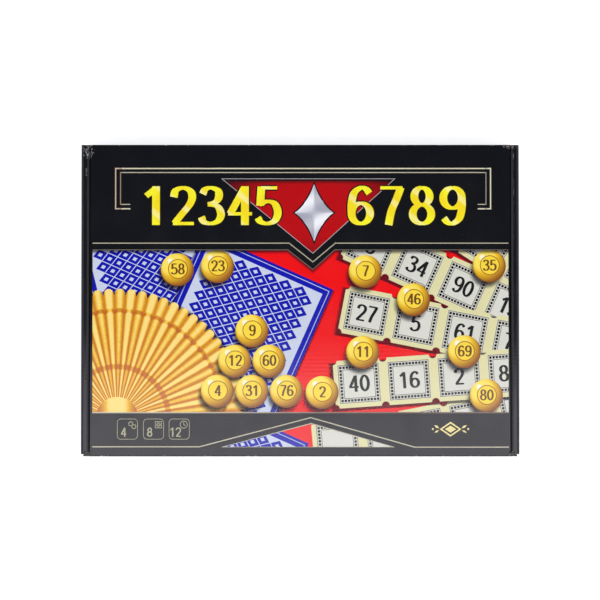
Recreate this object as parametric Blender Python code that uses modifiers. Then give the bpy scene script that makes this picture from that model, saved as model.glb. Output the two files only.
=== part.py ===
"""Boxed bingo game: a folding board box with a hinged lid and a tuck flap, its cards, number discs and bag.

The closed box lies flat. +X is its length, +Y points to the lid's hinge and +Z is up. The origin is the
middle of the underside. All sizes are in metres.
"""

import math

import bmesh
import bpy
from mathutils import Matrix, Vector

# Closed box, outside
BOX_LENGTH = 0.350
BOX_DEPTH = 0.249
BOX_HEIGHT = 0.050

# Board and clearances
BOARD = 0.0015
SEAT_GAP = 0.0003
LID_SIDE_GAP = 0.0005
FOLD_RADIUS = 0.0012
FOLD_STEPS = 4
CUT_OVERRUN = 0.0020
WELD = 0.00001

# Rolled side walls and their lock tabs
STRIP_TAPER = 0.0020
LOCK_TAB_LENGTH = 0.0360
LOCK_TAB_SPACING = 0.1400
LOCK_TAB_RECESS = 0.0003

# Corner tabs of the front and back walls
CORNER_TAB_LENGTH = 0.0600
CORNER_TAB_TAPER = 0.0100
CORNER_TAB_RADIUS = 0.0040

# Lid, dust flaps and front flap
DUST_FLAP_DEPTH = 0.0280
DUST_FLAP_INSET = 0.0055
DUST_FLAP_TAPER = 0.0140
DUST_FLAP_RADIUS = 0.0060
FLAP_FLOOR_GAP = 0.0008
EAR_TOP_GAP = 0.0007
EAR_FLOOR_GAP = 0.0025
EAR_STEPS = 16

# Cards and leaflet
CARD_BOARD = 0.0015
CARD_RADIUS = 0.0030
CARD_MARGIN = 0.0040
STACK_GAP = 0.0312
LOTTO_CARD_LENGTH = 0.1980
LOTTO_CARD_COUNT = 12
BINGO_CARD_COUNT = 12
STACK_SHIFT = 0.0011
STACK_TURN_DEGREES = 0.35
LEAFLET_SIDE_INSET = 0.0110
LEAFLET_END_INSET = 0.0175
LEAFLET_PAPER = 0.0003
LEAFLET_OPENING = 0.0006

# Number discs
DISC_RADIUS = 0.0120
DISC_HEIGHT = 0.0110
DISC_BULGE = 0.0002
DISC_RIM = 0.0018
DISC_RIM_SLOPE = 0.0006
DISC_RECESS = 0.0008
DISC_EDGE = 0.0007
DISC_SPACING = 0.0009
DISC_STEPS = 28
DISC_SIDE_GAP = 0.0032
DISC_END_GAP = 0.0044
DISC_COLUMN_COUNT = 2
DISC_ROW_COUNT = 6
DISC_UPPER_ROW_SHARES = (0.10, 0.50, 0.90)

# Drawstring bag, lying on its side with the neck towards the hinge
BAG_BACK_GAP = 0.0292
BAG_SIDE_GAP = 0.0090
BAG_FRONT_GAP = 0.0070
BAG_HEADROOM = 0.0060
BAG_SIDES = 28
BAG_NECK_WIDTH = 0.0270
BAG_NECK_HEIGHT = 0.0150
BAG_STATION_SHARES = (0.00, 0.02, 0.07, 0.15, 0.27, 0.42, 0.56, 0.67, 0.745, 0.79, 0.83, 0.88, 0.94, 1.00)
BAG_WIDTH_SHARES = (0.42, 0.62, 0.83, 0.95, 1.00, 1.00, 0.95, 0.80, 0.52, 0.00, 0.00, 0.16, 0.34, 0.44)
BAG_HEIGHT_SHARES = (0.34, 0.52, 0.76, 0.91, 0.99, 1.00, 0.96, 0.82, 0.52, 0.00, 0.00, 0.10, 0.15, 0.14)
BAG_ROUND_SHARES = (0.70, 0.70, 0.72, 0.74, 0.76, 0.76, 0.76, 0.80, 0.90, 1.00, 1.00, 0.92, 0.86, 0.84)
BAG_STATION_STEPS = 2

# Drawstring
CORD_RADIUS = 0.0014
CORD_SKIN_GAP = 0.0006
CORD_TAIL_LENGTH_SHARE = 0.80
CORD_TAIL_SPREAD_DEGREES = 24
CORD_TAIL_STEPS = 11
KNOT_LENGTH = 0.0075
KNOT_HEIGHT = 0.0052

# Faces of the box's layers, from the middle outwards along X
OUTER_WALL_OUT = BOX_LENGTH / 2
OUTER_WALL_IN = OUTER_WALL_OUT - BOARD
EAR_OUT = OUTER_WALL_IN - SEAT_GAP
EAR_IN = EAR_OUT - BOARD
CORNER_TAB_OUT = EAR_IN - SEAT_GAP
CORNER_TAB_IN = CORNER_TAB_OUT - BOARD
INNER_WALL_OUT = CORNER_TAB_IN - SEAT_GAP
INNER_WALL_IN = INNER_WALL_OUT - BOARD
LID_SIDE = INNER_WALL_IN - LID_SIDE_GAP
DUST_FLAP_IN = LID_SIDE - BOARD

# Faces of the layers along Y
FRONT = -BOX_DEPTH / 2
BACK = BOX_DEPTH / 2
FLAP_IN = FRONT + BOARD
FRONT_WALL_OUT = FLAP_IN + SEAT_GAP
FRONT_WALL_IN = FRONT_WALL_OUT + BOARD
FRONT_CREASE = FRONT_WALL_IN + SEAT_GAP
BACK_WALL_IN = BACK - BOARD
BACK_CREASE = BACK_WALL_IN - SEAT_GAP

# Heights of the layers
LID_UNDERSIDE = BOX_HEIGHT - BOARD
WALL_TOP = LID_UNDERSIDE - SEAT_GAP
FLOOR_SEAT = BOARD + SEAT_GAP

# Room for the contents
ROOM_RIGHT = DUST_FLAP_IN - CARD_MARGIN
ROOM_LEFT = -ROOM_RIGHT
ROOM_FRONT = FRONT_WALL_IN + CARD_MARGIN
ROOM_BACK = BACK_WALL_IN - CARD_MARGIN
LOTTO_LEFT = ROOM_RIGHT - LOTTO_CARD_LENGTH
BAG_RIGHT = LOTTO_LEFT - BAG_SIDE_GAP
DISC_PITCH = 2 * (DISC_RADIUS + DISC_BULGE) + DISC_SPACING
LOTTO_FRONT = ROOM_FRONT + DISC_ROW_COUNT * DISC_PITCH + DISC_END_GAP
LOTTO_CARD_WIDTH = ROOM_BACK - LOTTO_FRONT
BINGO_LEFT = BAG_RIGHT + DISC_COLUMN_COUNT * DISC_PITCH + 2 * DISC_SIDE_GAP
BINGO_CARD_LENGTH = ROOM_RIGHT - BINGO_LEFT
BINGO_CARD_WIDTH = LOTTO_FRONT - STACK_GAP - ROOM_FRONT
BAG_WIDTH = BAG_RIGHT - ROOM_LEFT
BAG_MIDDLE = (BAG_RIGHT + ROOM_LEFT) / 2
BAG_FRONT = FRONT_WALL_IN + BAG_FRONT_GAP
BAG_LENGTH = BACK_WALL_IN - BAG_BACK_GAP - BAG_FRONT
BAG_HEIGHT = LID_UNDERSIDE - FLOOR_SEAT - BAG_HEADROOM
NECK_LIFT = 2 * CORD_RADIUS + SEAT_GAP + CORD_SKIN_GAP

# A filled curve lies in its own XY plane. These turn it to face along Z, X or Y.
FACING = {
    "Z": Matrix.Identity(4),
    "X": Matrix(((0, 0, 1, 0), (1, 0, 0, 0), (0, 1, 0, 0), (0, 0, 0, 1))),
    "Y": Matrix(((1, 0, 0, 0), (0, 0, -1, 0), (0, 1, 0, 0), (0, 0, 0, 1))),
}


def clear_scene():
    """Removes what the start-up scene holds."""
    for obj in list(bpy.data.objects):
        bpy.data.objects.remove(obj, do_unlink=True)


def collection(name):
    """A new collection in the scene."""
    made = bpy.data.collections.new(name)
    bpy.context.scene.collection.children.link(made)
    return made


def finish(name, colour, roughness, metallic=0.0):
    """A Principled material, made once for each name."""
    if name in bpy.data.materials:
        return bpy.data.materials[name]
    made = bpy.data.materials.new(name)
    made.use_nodes = True
    shader = made.node_tree.nodes["Principled BSDF"]
    shader.inputs["Base Color"].default_value = (*colour, 1.0)
    shader.inputs["Roughness"].default_value = roughness
    shader.inputs["Metallic"].default_value = metallic
    made.diffuse_color = (*colour, 1.0)
    return made


def printed_board():
    return finish("printed_board", (0.012, 0.012, 0.016), 0.30)


def disc_plastic():
    return finish("disc_plastic", (0.80, 0.52, 0.07), 0.35)


def lotto_card_print():
    return finish("lotto_card_print", (0.80, 0.79, 0.68), 0.50)


def bingo_card_print():
    return finish("bingo_card_print", (0.10, 0.14, 0.55), 0.50)


def leaflet_paper():
    return finish("leaflet_paper", (0.85, 0.85, 0.83), 0.70)


def bag_cloth():
    return finish("bag_cloth", (0.72, 0.46, 0.12), 0.85)


def cord_cotton():
    return finish("cord_cotton", (0.30, 0.16, 0.05), 0.80)


def place(name, data, group, material, matrix=None):
    """Links an object of this data, with its material, into a collection."""
    obj = bpy.data.objects.new(name, data)
    group.objects.link(obj)
    if material:
        obj.data.materials.clear()
        obj.data.materials.append(material)
    if matrix:
        obj.matrix_world = matrix
    return obj


def as_helper(obj):
    """Marks an object as a cutter or a joined shape, which is no part."""
    obj.hide_render = True
    obj.display_type = "WIRE"
    return obj


def hang_from(obj, carrier):
    """Parents an object to an empty without moving it."""
    bpy.context.view_layer.update()
    obj.parent = carrier
    obj.matrix_parent_inverse = carrier.matrix_world.inverted()


def rounded(corners, radius, steps=FOLD_STEPS):
    """A closed outline whose corners are turned into arcs of one radius."""
    points = []
    for index, corner in enumerate(corners):
        here = Vector(corner)
        to_last = (Vector(corners[index - 1]) - here).normalized()
        to_next = (Vector(corners[(index + 1) % len(corners)]) - here).normalized()
        points += corner_arc(here, to_last, to_next, radius, steps)
    return points


def corner_arc(corner, to_last, to_next, radius, steps):
    """Points of the arc of this radius that touches both sides of a corner."""
    half = to_last.angle(to_next) / 2
    middle = corner + (to_last + to_next).normalized() * (radius / math.sin(half))
    first = corner + to_last * (radius / math.tan(half)) - middle
    last = corner + to_next * (radius / math.tan(half)) - middle
    sweep = first.angle_signed(last)
    turns = (Matrix.Rotation(-sweep * step / steps, 2) for step in range(steps + 1))
    return [middle + turn @ first for turn in turns]


def sheet(name, outline, low, high, facing, group, material):
    """A flat piece: an outline filled as a 2D curve, from one face to the other along X, Y or Z."""
    curve = bpy.data.curves.new(name, "CURVE")
    curve.dimensions = "2D"
    curve.fill_mode = "BOTH"
    curve.extrude = (high - low) / 2
    spline = curve.splines.new("POLY")
    spline.points.add(len(outline) - 1)
    for point, (across, along) in zip(spline.points, outline):
        point.co = (across, along, 0, 1)
    spline.use_cyclic_u = True
    middle = Vector([(low + high) / 2 if axis == facing else 0 for axis in "XYZ"])
    return place(name, curve, group, material, Matrix.Translation(middle) @ FACING[facing])


def meshed(obj):
    """The same piece as a mesh with its caps welded, so that it can be cut or can cut."""
    bpy.context.view_layer.update()
    graph = bpy.context.evaluated_depsgraph_get()
    mesh = bpy.data.meshes.new_from_object(obj.evaluated_get(graph))
    body = bmesh.new()
    body.from_mesh(mesh)
    bmesh.ops.remove_doubles(body, verts=body.verts, dist=WELD)
    bmesh.ops.recalc_face_normals(body, faces=body.faces)
    body.to_mesh(mesh)
    body.free()
    name = obj.name
    group = obj.users_collection[0]
    matrix = obj.matrix_world.copy()
    bpy.data.objects.remove(obj, do_unlink=True)
    return place(name, mesh, group, None, matrix)


def box(name, low, high, group, material=None):
    """A box between two corners."""
    low, high = Vector(low), Vector(high)
    body = bmesh.new()
    bmesh.ops.create_cube(body, size=1)
    bmesh.ops.scale(body, vec=high - low, verts=body.verts)
    mesh = bpy.data.meshes.new(name)
    body.to_mesh(mesh)
    body.free()
    return place(name, mesh, group, material, Matrix.Translation((low + high) / 2))


def cut(obj, cutter):
    """Takes the cutter's shape out of the object."""
    tool = obj.modifiers.new("cut_" + cutter.name, "BOOLEAN")
    tool.operation = "DIFFERENCE"
    tool.object = as_helper(cutter)


def join(obj, other):
    """Adds the other shape to the object as one body."""
    tool = obj.modifiers.new("join_" + other.name, "BOOLEAN")
    tool.operation = "UNION"
    tool.object = as_helper(other)


def rectangle(left, right, bottom, top):
    """The corners of a rectangle, anticlockwise."""
    return [(left, bottom), (right, bottom), (right, top), (left, top)]


def lock_tab_middles():
    """Where the lock tabs of a side wall sit along Y."""
    return (-LOCK_TAB_SPACING / 2, LOCK_TAB_SPACING / 2)


def floor_panel(parts, cutters):
    """The floor, with a slot for each lock tab."""
    half = OUTER_WALL_IN - SEAT_GAP
    floor = box("floor_panel", (-half, FRONT_CREASE, 0), (half, BACK_CREASE, BOARD), parts, printed_board())
    for side in (-1, 1):
        across = sorted((side * (INNER_WALL_IN - SEAT_GAP), side * (INNER_WALL_OUT + SEAT_GAP)))
        for index, middle in enumerate(lock_tab_middles()):
            reach = LOCK_TAB_LENGTH / 2 + SEAT_GAP
            low = (across[0], middle - reach, -CUT_OVERRUN)
            high = (across[1], middle + reach, BOARD + CUT_OVERRUN)
            cut(floor, box(f"slot_cutter_{side}_{index}", low, high, cutters))


def rolled_section(side):
    """Middle line of a side wall across the box: up the outer wall, over the strip, down the inner wall."""
    outer = side * (OUTER_WALL_OUT - BOARD / 2)
    inner = side * (INNER_WALL_IN + BOARD / 2)
    crown = BOX_HEIGHT - BOARD / 2
    first = corner_arc(Vector((outer, crown)), Vector((0, -1)), Vector((-side, 0)), FOLD_RADIUS, FOLD_STEPS)
    second = corner_arc(Vector((inner, crown)), Vector((side, 0)), Vector((0, -1)), FOLD_RADIUS, FOLD_STEPS)
    return [Vector((outer, 0))] + first + second + [Vector((inner, LOCK_TAB_RECESS))]


def side_wall(name, side, parts, cutters):
    """One rolled side wall: a sheet folded twice, with lock tabs under its inner panel."""
    body = bmesh.new()
    line = [body.verts.new((point.x, FRONT_WALL_OUT, point.y)) for point in rolled_section(side)]
    edges = [body.edges.new(pair) for pair in zip(line, line[1:])]
    swept = bmesh.ops.extrude_edge_only(body, edges=edges)["geom"]
    moved = [item for item in swept if isinstance(item, bmesh.types.BMVert)]
    bmesh.ops.translate(body, verts=moved, vec=(0, BACK - FRONT_WALL_OUT, 0))
    mesh = bpy.data.meshes.new(name)
    body.to_mesh(mesh)
    body.free()
    wall = place(name, mesh, parts, printed_board())
    thick = wall.modifiers.new("board", "SOLIDIFY")
    thick.thickness = BOARD
    thick.offset = 0
    thick.use_even_offset = True
    for index, (low, high) in enumerate(inner_panel_cuts(side)):
        cut(wall, box(f"{name}_cutter_{index}", low, high, cutters))
    for index, outline in enumerate(strip_tapers(side)):
        low = LID_UNDERSIDE - SEAT_GAP / 2
        high = BOX_HEIGHT + CUT_OVERRUN
        wedge = sheet(f"{name}_taper_{index}", outline, low, high, "Z", cutters, None)
        cut(wall, meshed(wedge))


def inner_panel_cuts(side):
    """Boxes cut from the inner panel: both ends, and below it everywhere but at the lock tabs."""
    across = sorted((side * (INNER_WALL_IN - CUT_OVERRUN), side * (INNER_WALL_OUT + CUT_OVERRUN)))
    end_top = LID_UNDERSIDE - SEAT_GAP / 2
    front, back = FRONT_WALL_OUT - CUT_OVERRUN, BACK + CUT_OVERRUN
    stops = [front]
    for middle in lock_tab_middles():
        stops += [middle - LOCK_TAB_LENGTH / 2, middle + LOCK_TAB_LENGTH / 2]
    stops.append(back)
    boxes = [
        ((across[0], front, -CUT_OVERRUN), (across[1], FRONT_CREASE, end_top)),
        ((across[0], BACK_CREASE, -CUT_OVERRUN), (across[1], back, end_top)),
    ]
    for low, high in zip(stops[::2], stops[1::2]):
        boxes.append(((across[0], low, -CUT_OVERRUN), (across[1], high, FLOOR_SEAT)))
    return boxes


def strip_tapers(side):
    """Triangles that shorten both ends of a side wall's top strip towards the lid."""
    inner = side * (INNER_WALL_IN - CUT_OVERRUN)
    outer = side * OUTER_WALL_IN
    outlines = []
    for end, away in ((FRONT_WALL_OUT, -1), (BACK, 1)):
        corners = [(outer, end), (inner, end - away * STRIP_TAPER), (inner, end + away * CUT_OVERRUN)]
        corners.append((outer, end + away * CUT_OVERRUN))
        outlines.append(corners)
    return outlines


def end_walls(parts):
    """The front wall, which stops at the tuck slots, and the back wall, which fills the width."""
    front = rectangle(-CORNER_TAB_OUT, CORNER_TAB_OUT, 0, WALL_TOP)
    sheet("front_wall", front, FRONT_WALL_OUT, FRONT_WALL_IN, "Y", parts, printed_board())
    back = rectangle(-EAR_OUT, EAR_OUT, 0, WALL_TOP)
    sheet("back_wall", back, BACK_WALL_IN, BACK, "Y", parts, printed_board())


def corner_tab(name, crease, away, low, high, parts):
    """A tab folded in from an end wall, between the side wall's two layers."""
    tip = crease + away * CORNER_TAB_LENGTH
    narrow = CORNER_TAB_TAPER
    corners = [(crease, FLOOR_SEAT), (tip, FLOOR_SEAT + narrow), (tip, WALL_TOP - narrow), (crease, WALL_TOP)]
    if away < 0:
        corners.reverse()
    outline = []
    for index, corner in enumerate(corners):
        here = Vector(corner)
        if corner[0] == crease:
            outline.append(here)
            continue
        to_last = (Vector(corners[index - 1]) - here).normalized()
        to_next = (Vector(corners[(index + 1) % len(corners)]) - here).normalized()
        outline += corner_arc(here, to_last, to_next, CORNER_TAB_RADIUS, FOLD_STEPS)
    sheet(name, outline, *sorted((low, high)), "X", parts, printed_board())


def corner_tabs(parts):
    """The front tabs leave room outside them for the ears, and the back tabs lie on the outer wall."""
    for word, side in (("left", -1), ("right", 1)):
        front = (side * CORNER_TAB_IN, side * CORNER_TAB_OUT)
        corner_tab(f"front_{word}_corner_tab", FRONT_CREASE, 1, *front, parts)
        back = (side * EAR_IN, side * EAR_OUT)
        corner_tab(f"back_{word}_corner_tab", BACK_CREASE, -1, *back, parts)


def hinge_empty(name, along, parts):
    """An empty on a crease at the top of the box."""
    empty = place(name, None, parts, None, Matrix.Translation((0, along, BOX_HEIGHT)))
    empty.empty_display_size = BOX_HEIGHT
    return empty


def lid(parts):
    """The lid panel with its rounded creases and the two dust flaps that hang from its sides."""
    hinge = hinge_empty("lid_hinge", BACK, parts)
    edge = BOARD / 2
    section = [(FRONT, LID_UNDERSIDE), (BACK, LID_UNDERSIDE)]
    crown = [(BACK, BOX_HEIGHT), (FRONT, BOX_HEIGHT)]
    outline = section + corner_arc(Vector(crown[0]), Vector((0, -1)), Vector((-1, 0)), edge, FOLD_STEPS)
    outline += corner_arc(Vector(crown[1]), Vector((1, 0)), Vector((0, -1)), edge, FOLD_STEPS)
    panel = sheet("lid_panel", outline, -LID_SIDE, LID_SIDE, "X", parts, printed_board())
    hang_from(panel, hinge)
    for word, side in (("left", -1), ("right", 1)):
        across = sorted((side * DUST_FLAP_IN, side * LID_SIDE))
        flap = sheet(f"{word}_dust_flap", dust_flap_outline(), *across, "X", parts, printed_board())
        hang_from(flap, hinge)
    return hinge


def dust_flap_outline():
    """A trapezium under the lid's side crease, with its free corners rounded."""
    front, back = FRONT_WALL_IN + DUST_FLAP_INSET, BACK_WALL_IN - DUST_FLAP_INSET
    bottom = WALL_TOP - DUST_FLAP_DEPTH
    lower = [Vector((front + DUST_FLAP_TAPER, bottom)), Vector((back - DUST_FLAP_TAPER, bottom))]
    upper = [Vector((back, WALL_TOP)), Vector((front, WALL_TOP))]
    slopes = [(upper[1] - lower[0]).normalized(), (upper[0] - lower[1]).normalized()]
    outline = corner_arc(lower[0], slopes[0], Vector((1, 0)), DUST_FLAP_RADIUS, FOLD_STEPS)
    outline += corner_arc(lower[1], Vector((-1, 0)), slopes[1], DUST_FLAP_RADIUS, FOLD_STEPS)
    return outline + upper


def front_flap(parts, lid_hinge):
    """The flap that covers the front wall, and the ears that tuck into the side walls."""
    crease = hinge_empty("front_flap_hinge", FRONT, parts)
    face = rectangle(-EAR_OUT, EAR_OUT, FLAP_FLOOR_GAP, WALL_TOP)
    flap = sheet("front_flap", face, FRONT, FLAP_IN, "Y", parts, printed_board())
    hang_from(flap, crease)
    for word, side in (("left", -1), ("right", 1)):
        across = sorted((side * EAR_IN, side * EAR_OUT))
        ear = sheet(f"{word}_ear", ear_outline(), *across, "X", parts, printed_board())
        hang_from(ear, crease)
    hang_from(crease, lid_hinge)


def ear_outline():
    """A quarter disc about the flap's crease, so that the ear swings out clear of the floor."""
    reach = BOX_HEIGHT - BOARD - EAR_FLOOR_GAP
    start = FLAP_IN + SEAT_GAP
    top = WALL_TOP - EAR_TOP_GAP
    highest = math.asin((BOX_HEIGHT - top) / reach)
    lowest = math.acos((start - FRONT) / reach)
    outline = [Vector((start, top))]
    for step in range(EAR_STEPS + 1):
        angle = highest + (lowest - highest) * step / EAR_STEPS
        outline.append(Vector((FRONT + reach * math.cos(angle), BOX_HEIGHT - reach * math.sin(angle))))
    return outline[::-1]


def card_stack(kind, count, length, width, left, front, material, parts):
    """A stack of cards with rounded corners, each a little out of line with the one below."""
    half = rectangle(-length / 2, length / 2, -width / 2, width / 2)
    outline = rounded(half, CARD_RADIUS)
    for index in range(count):
        low = FLOOR_SEAT + index * (CARD_BOARD + SEAT_GAP)
        card = sheet(f"{kind}_card_{index + 1:02d}", outline, low, low + CARD_BOARD, "Z", parts, material)
        sway = Vector((math.sin(index * 2.4), math.cos(index * 3.1), 0)) * STACK_SHIFT
        middle = Vector((left + length / 2, front + width / 2, low + CARD_BOARD / 2))
        turn = Matrix.Rotation(math.radians(STACK_TURN_DEGREES) * math.sin(index * 1.7), 4, "Z")
        card.matrix_world = Matrix.Translation(middle + sway) @ turn


def cards(parts):
    """The long lotto cards by the back wall and the broad bingo cards by the front wall."""
    lotto = (LOTTO_CARD_COUNT, LOTTO_CARD_LENGTH, LOTTO_CARD_WIDTH, LOTTO_LEFT, LOTTO_FRONT)
    card_stack("lotto", *lotto, lotto_card_print(), parts)
    bingo = (BINGO_CARD_COUNT, BINGO_CARD_LENGTH, BINGO_CARD_WIDTH, BINGO_LEFT, ROOM_FRONT)
    card_stack("bingo", *bingo, bingo_card_print(), parts)


def rules_leaflet(parts):
    """A sheet folded once, lying on the bingo cards with its fold to the left."""
    stack_top = FLOOR_SEAT + BINGO_CARD_COUNT * (CARD_BOARD + SEAT_GAP)
    left = BINGO_LEFT + LEAFLET_SIDE_INSET
    right = BINGO_LEFT + BINGO_CARD_LENGTH - LEAFLET_SIDE_INSET
    front = ROOM_FRONT + LEAFLET_END_INSET
    width = BINGO_CARD_WIDTH - 2 * LEAFLET_END_INSET
    low = stack_top + LEAFLET_PAPER / 2
    high = low + LEAFLET_PAPER + LEAFLET_OPENING
    bend = (high - low) / 2 - LEAFLET_PAPER / 4
    line = [Vector((right, high))]
    line += corner_arc(Vector((left, high)), Vector((1, 0)), Vector((0, -1)), bend, FOLD_STEPS)
    line += corner_arc(Vector((left, low)), Vector((0, 1)), Vector((1, 0)), bend, FOLD_STEPS)
    line.append(Vector((right, low)))
    body = bmesh.new()
    verts = [body.verts.new((point.x, front, point.y)) for point in line]
    edges = [body.edges.new(pair) for pair in zip(verts, verts[1:])]
    swept = bmesh.ops.extrude_edge_only(body, edges=edges)["geom"]
    moved = [item for item in swept if isinstance(item, bmesh.types.BMVert)]
    bmesh.ops.translate(body, verts=moved, vec=(0, width, 0))
    mesh = bpy.data.meshes.new("rules_leaflet")
    body.to_mesh(mesh)
    body.free()
    leaflet = place("rules_leaflet", mesh, parts, leaflet_paper())
    thick = leaflet.modifiers.new("paper", "SOLIDIFY")
    thick.thickness = LEAFLET_PAPER
    thick.offset = 0
    thick.use_even_offset = True


def disc_profile():
    """Half section of a number disc, from the top's middle out, down the barrel and back in below."""
    face = DISC_RADIUS - DISC_RIM
    rim = face + DISC_RIM_SLOPE
    side = DISC_RADIUS - DISC_EDGE
    upper = [
        (0, DISC_HEIGHT - DISC_RECESS),
        (face, DISC_HEIGHT - DISC_RECESS),
        (rim, DISC_HEIGHT),
        (side, DISC_HEIGHT),
        (DISC_RADIUS, DISC_HEIGHT - DISC_EDGE),
    ]
    lower = [(across, DISC_HEIGHT - up) for across, up in reversed(upper)]
    return upper + [(DISC_RADIUS + DISC_BULGE, DISC_HEIGHT / 2)] + lower


def disc_mesh():
    """The profile that every number disc turns."""
    body = bmesh.new()
    line = [body.verts.new((across, 0, up)) for across, up in disc_profile()]
    for pair in zip(line, line[1:]):
        body.edges.new(pair)
    mesh = bpy.data.meshes.new("number_disc")
    body.to_mesh(mesh)
    body.free()
    return mesh


def disc_places():
    """Middles of the loose discs: a lower layer between bag and cards, and a few lying on top of it."""
    start = Vector((BAG_RIGHT + DISC_SIDE_GAP + DISC_PITCH / 2, ROOM_FRONT + DISC_PITCH / 2, FLOOR_SEAT))
    places = []
    for row in range(DISC_ROW_COUNT):
        for column in range(DISC_COLUMN_COUNT):
            sway = Vector((math.sin(row * 1.9 + column), math.cos(row * 2.3 - column), 0)) * DISC_SPACING / 3
            places.append(start + Vector((column, row, 0)) * DISC_PITCH + sway)
    across = (DISC_COLUMN_COUNT - 1) / 2 * DISC_PITCH
    for share in DISC_UPPER_ROW_SHARES:
        along = share * (DISC_ROW_COUNT - 1) * DISC_PITCH
        places.append(start + Vector((across, along, DISC_HEIGHT + SEAT_GAP)))
    return places


def number_discs(parts):
    """The loose number discs, each turned from the same profile."""
    mesh = disc_mesh()
    for index, middle in enumerate(disc_places()):
        disc = place(f"number_disc_{index + 1:02d}", mesh, parts, disc_plastic(), Matrix.Translation(middle))
        turned = disc.modifiers.new("turned", "SCREW")
        turned.steps = DISC_STEPS
        turned.render_steps = DISC_STEPS
        turned.use_merge_vertices = True
        turned.merge_threshold = WELD
        turned.use_smooth_shade = True


def blend(values, station):
    """A smooth curve through a row of values, read at a station that may lie between two of them."""
    last = len(values) - 1
    index = min(int(station), last - 1)
    share = station - index
    before, after = values[max(index - 1, 0)], values[min(index + 2, last)]
    low, high = values[index], values[index + 1]
    rise, fall = (high - before) / 2, (after - low) / 2
    square, cube = share**2, share**3
    start = (2 * cube - 3 * square + 1) * low + (cube - 2 * square + share) * rise
    return start + (3 * square - 2 * cube) * high + (cube - square) * fall


def bag_section(station):
    """Place along the bag, half width, half height, height of the middle and roundness at a station."""
    along = BAG_FRONT + BAG_LENGTH * blend(BAG_STATION_SHARES, station)
    wide = max(blend(BAG_WIDTH_SHARES, station), 0)
    tall = max(blend(BAG_HEIGHT_SHARES, station), 0)
    half_width = (BAG_NECK_WIDTH + (BAG_WIDTH - BAG_NECK_WIDTH) * wide) / 2
    half_height = (BAG_NECK_HEIGHT + (BAG_HEIGHT - BAG_NECK_HEIGHT) * tall) / 2
    lift = NECK_LIFT * max(1 - wide / BAG_WIDTH_SHARES[-3], 0)
    return along, half_width, half_height, FLOOR_SEAT + lift + half_height, blend(BAG_ROUND_SHARES, station)


def bag_point(station, angle, clearance=0.0):
    """A point of the bag's skin, or one that stands off it by the clearance."""
    along, half_width, half_height, middle, power = bag_section(station)
    cosine, sine = math.cos(angle), math.sin(angle)
    across = half_width * math.copysign(abs(cosine) ** power, cosine)
    up = half_height * math.copysign(abs(sine) ** power, sine)
    off = Vector((cosine / half_width, 0, sine / half_height)).normalized() * clearance
    return Vector((BAG_MIDDLE + across, along, middle + up)) + off


def drawstring_bag(parts):
    """The filled bag: a sphere drawn out along Y, with a filled body, a gathered neck and a mouth."""
    rings = (len(BAG_STATION_SHARES) - 1) * BAG_STATION_STEPS
    body = bmesh.new()
    bmesh.ops.create_uvsphere(body, u_segments=BAG_SIDES, v_segments=rings + 2, radius=1)
    for vert in body.verts:
        ring = round(math.acos(max(-1, min(1, vert.co.z))) / math.pi * (rings + 2)) - 1
        station = max(0, min(rings, ring)) / BAG_STATION_STEPS
        if 0 <= ring <= rings:
            vert.co = bag_point(station, math.atan2(vert.co.y, vert.co.x))
        else:
            along, _, _, middle, _ = bag_section(station)
            vert.co = (BAG_MIDDLE, along, middle)
    bmesh.ops.recalc_face_normals(body, faces=body.faces)
    mesh = bpy.data.meshes.new("drawstring_bag")
    body.to_mesh(mesh)
    body.free()
    bag = place("drawstring_bag", mesh, parts, bag_cloth())
    bag.data.shade_smooth()


def tube(name, points, radius, closed, group, material):
    """A round cord along a list of points."""
    curve = bpy.data.curves.new(name, "CURVE")
    curve.dimensions = "3D"
    curve.bevel_depth = radius
    curve.bevel_resolution = 2
    curve.use_fill_caps = True
    spline = curve.splines.new("POLY")
    spline.points.add(len(points) - 1)
    for target, point in zip(spline.points, points):
        target.co = (*point, 1)
    spline.use_cyclic_u = closed
    return place(name, curve, group, material)


def drawstring(parts, cutters):
    """The cord drawn tight round the neck, its knot on top and its two short tails along the mouth."""
    narrow = [index for index, share in enumerate(BAG_WIDTH_SHARES) if share == 0]
    neck = sum(narrow) / len(narrow)
    stand_off = CORD_RADIUS + CORD_SKIN_GAP
    angles = [2 * math.pi * index / BAG_SIDES for index in range(BAG_SIDES)]
    loop = [bag_point(neck, angle, stand_off) for angle in angles]
    cord = meshed(tube("drawstring", loop, CORD_RADIUS, True, parts, cord_cotton()))
    top = bag_point(neck, math.pi / 2, stand_off)
    join(cord, knot(top, cutters))
    last = len(BAG_STATION_SHARES) - 1
    for word, side in (("left", -1), ("right", 1)):
        route = []
        for step in range(CORD_TAIL_STEPS + 1):
            share = step / CORD_TAIL_STEPS
            station = neck + (last - neck) * share * CORD_TAIL_LENGTH_SHARE
            turn = side * math.radians(CORD_TAIL_SPREAD_DEGREES) * share
            route.append(bag_point(station, math.pi / 2 - turn, stand_off))
        tail = tube(f"{word}_tail", route, CORD_RADIUS, False, cutters, None)
        join(cord, meshed(tail))


def knot(middle, cutters):
    """A round knot that stands over the cord."""
    body = bmesh.new()
    bmesh.ops.create_uvsphere(body, u_segments=16, v_segments=10, radius=1)
    bmesh.ops.scale(body, vec=(KNOT_LENGTH / 2, KNOT_LENGTH / 2, KNOT_HEIGHT / 2), verts=body.verts)
    mesh = bpy.data.meshes.new("knot")
    body.to_mesh(mesh)
    body.free()
    rise = KNOT_HEIGHT / 2 - CORD_RADIUS
    return place("knot", mesh, cutters, None, Matrix.Translation(middle + Vector((0, 0, rise))))


def main():
    clear_scene()
    parts = collection("bingo_game")
    cutters = collection("cutters")
    floor_panel(parts, cutters)
    side_wall("left_side_wall", -1, parts, cutters)
    side_wall("right_side_wall", 1, parts, cutters)
    end_walls(parts)
    corner_tabs(parts)
    front_flap(parts, lid(parts))
    cards(parts)
    rules_leaflet(parts)
    number_discs(parts)
    drawstring_bag(parts)
    drawstring(parts, cutters)


main()
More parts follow.
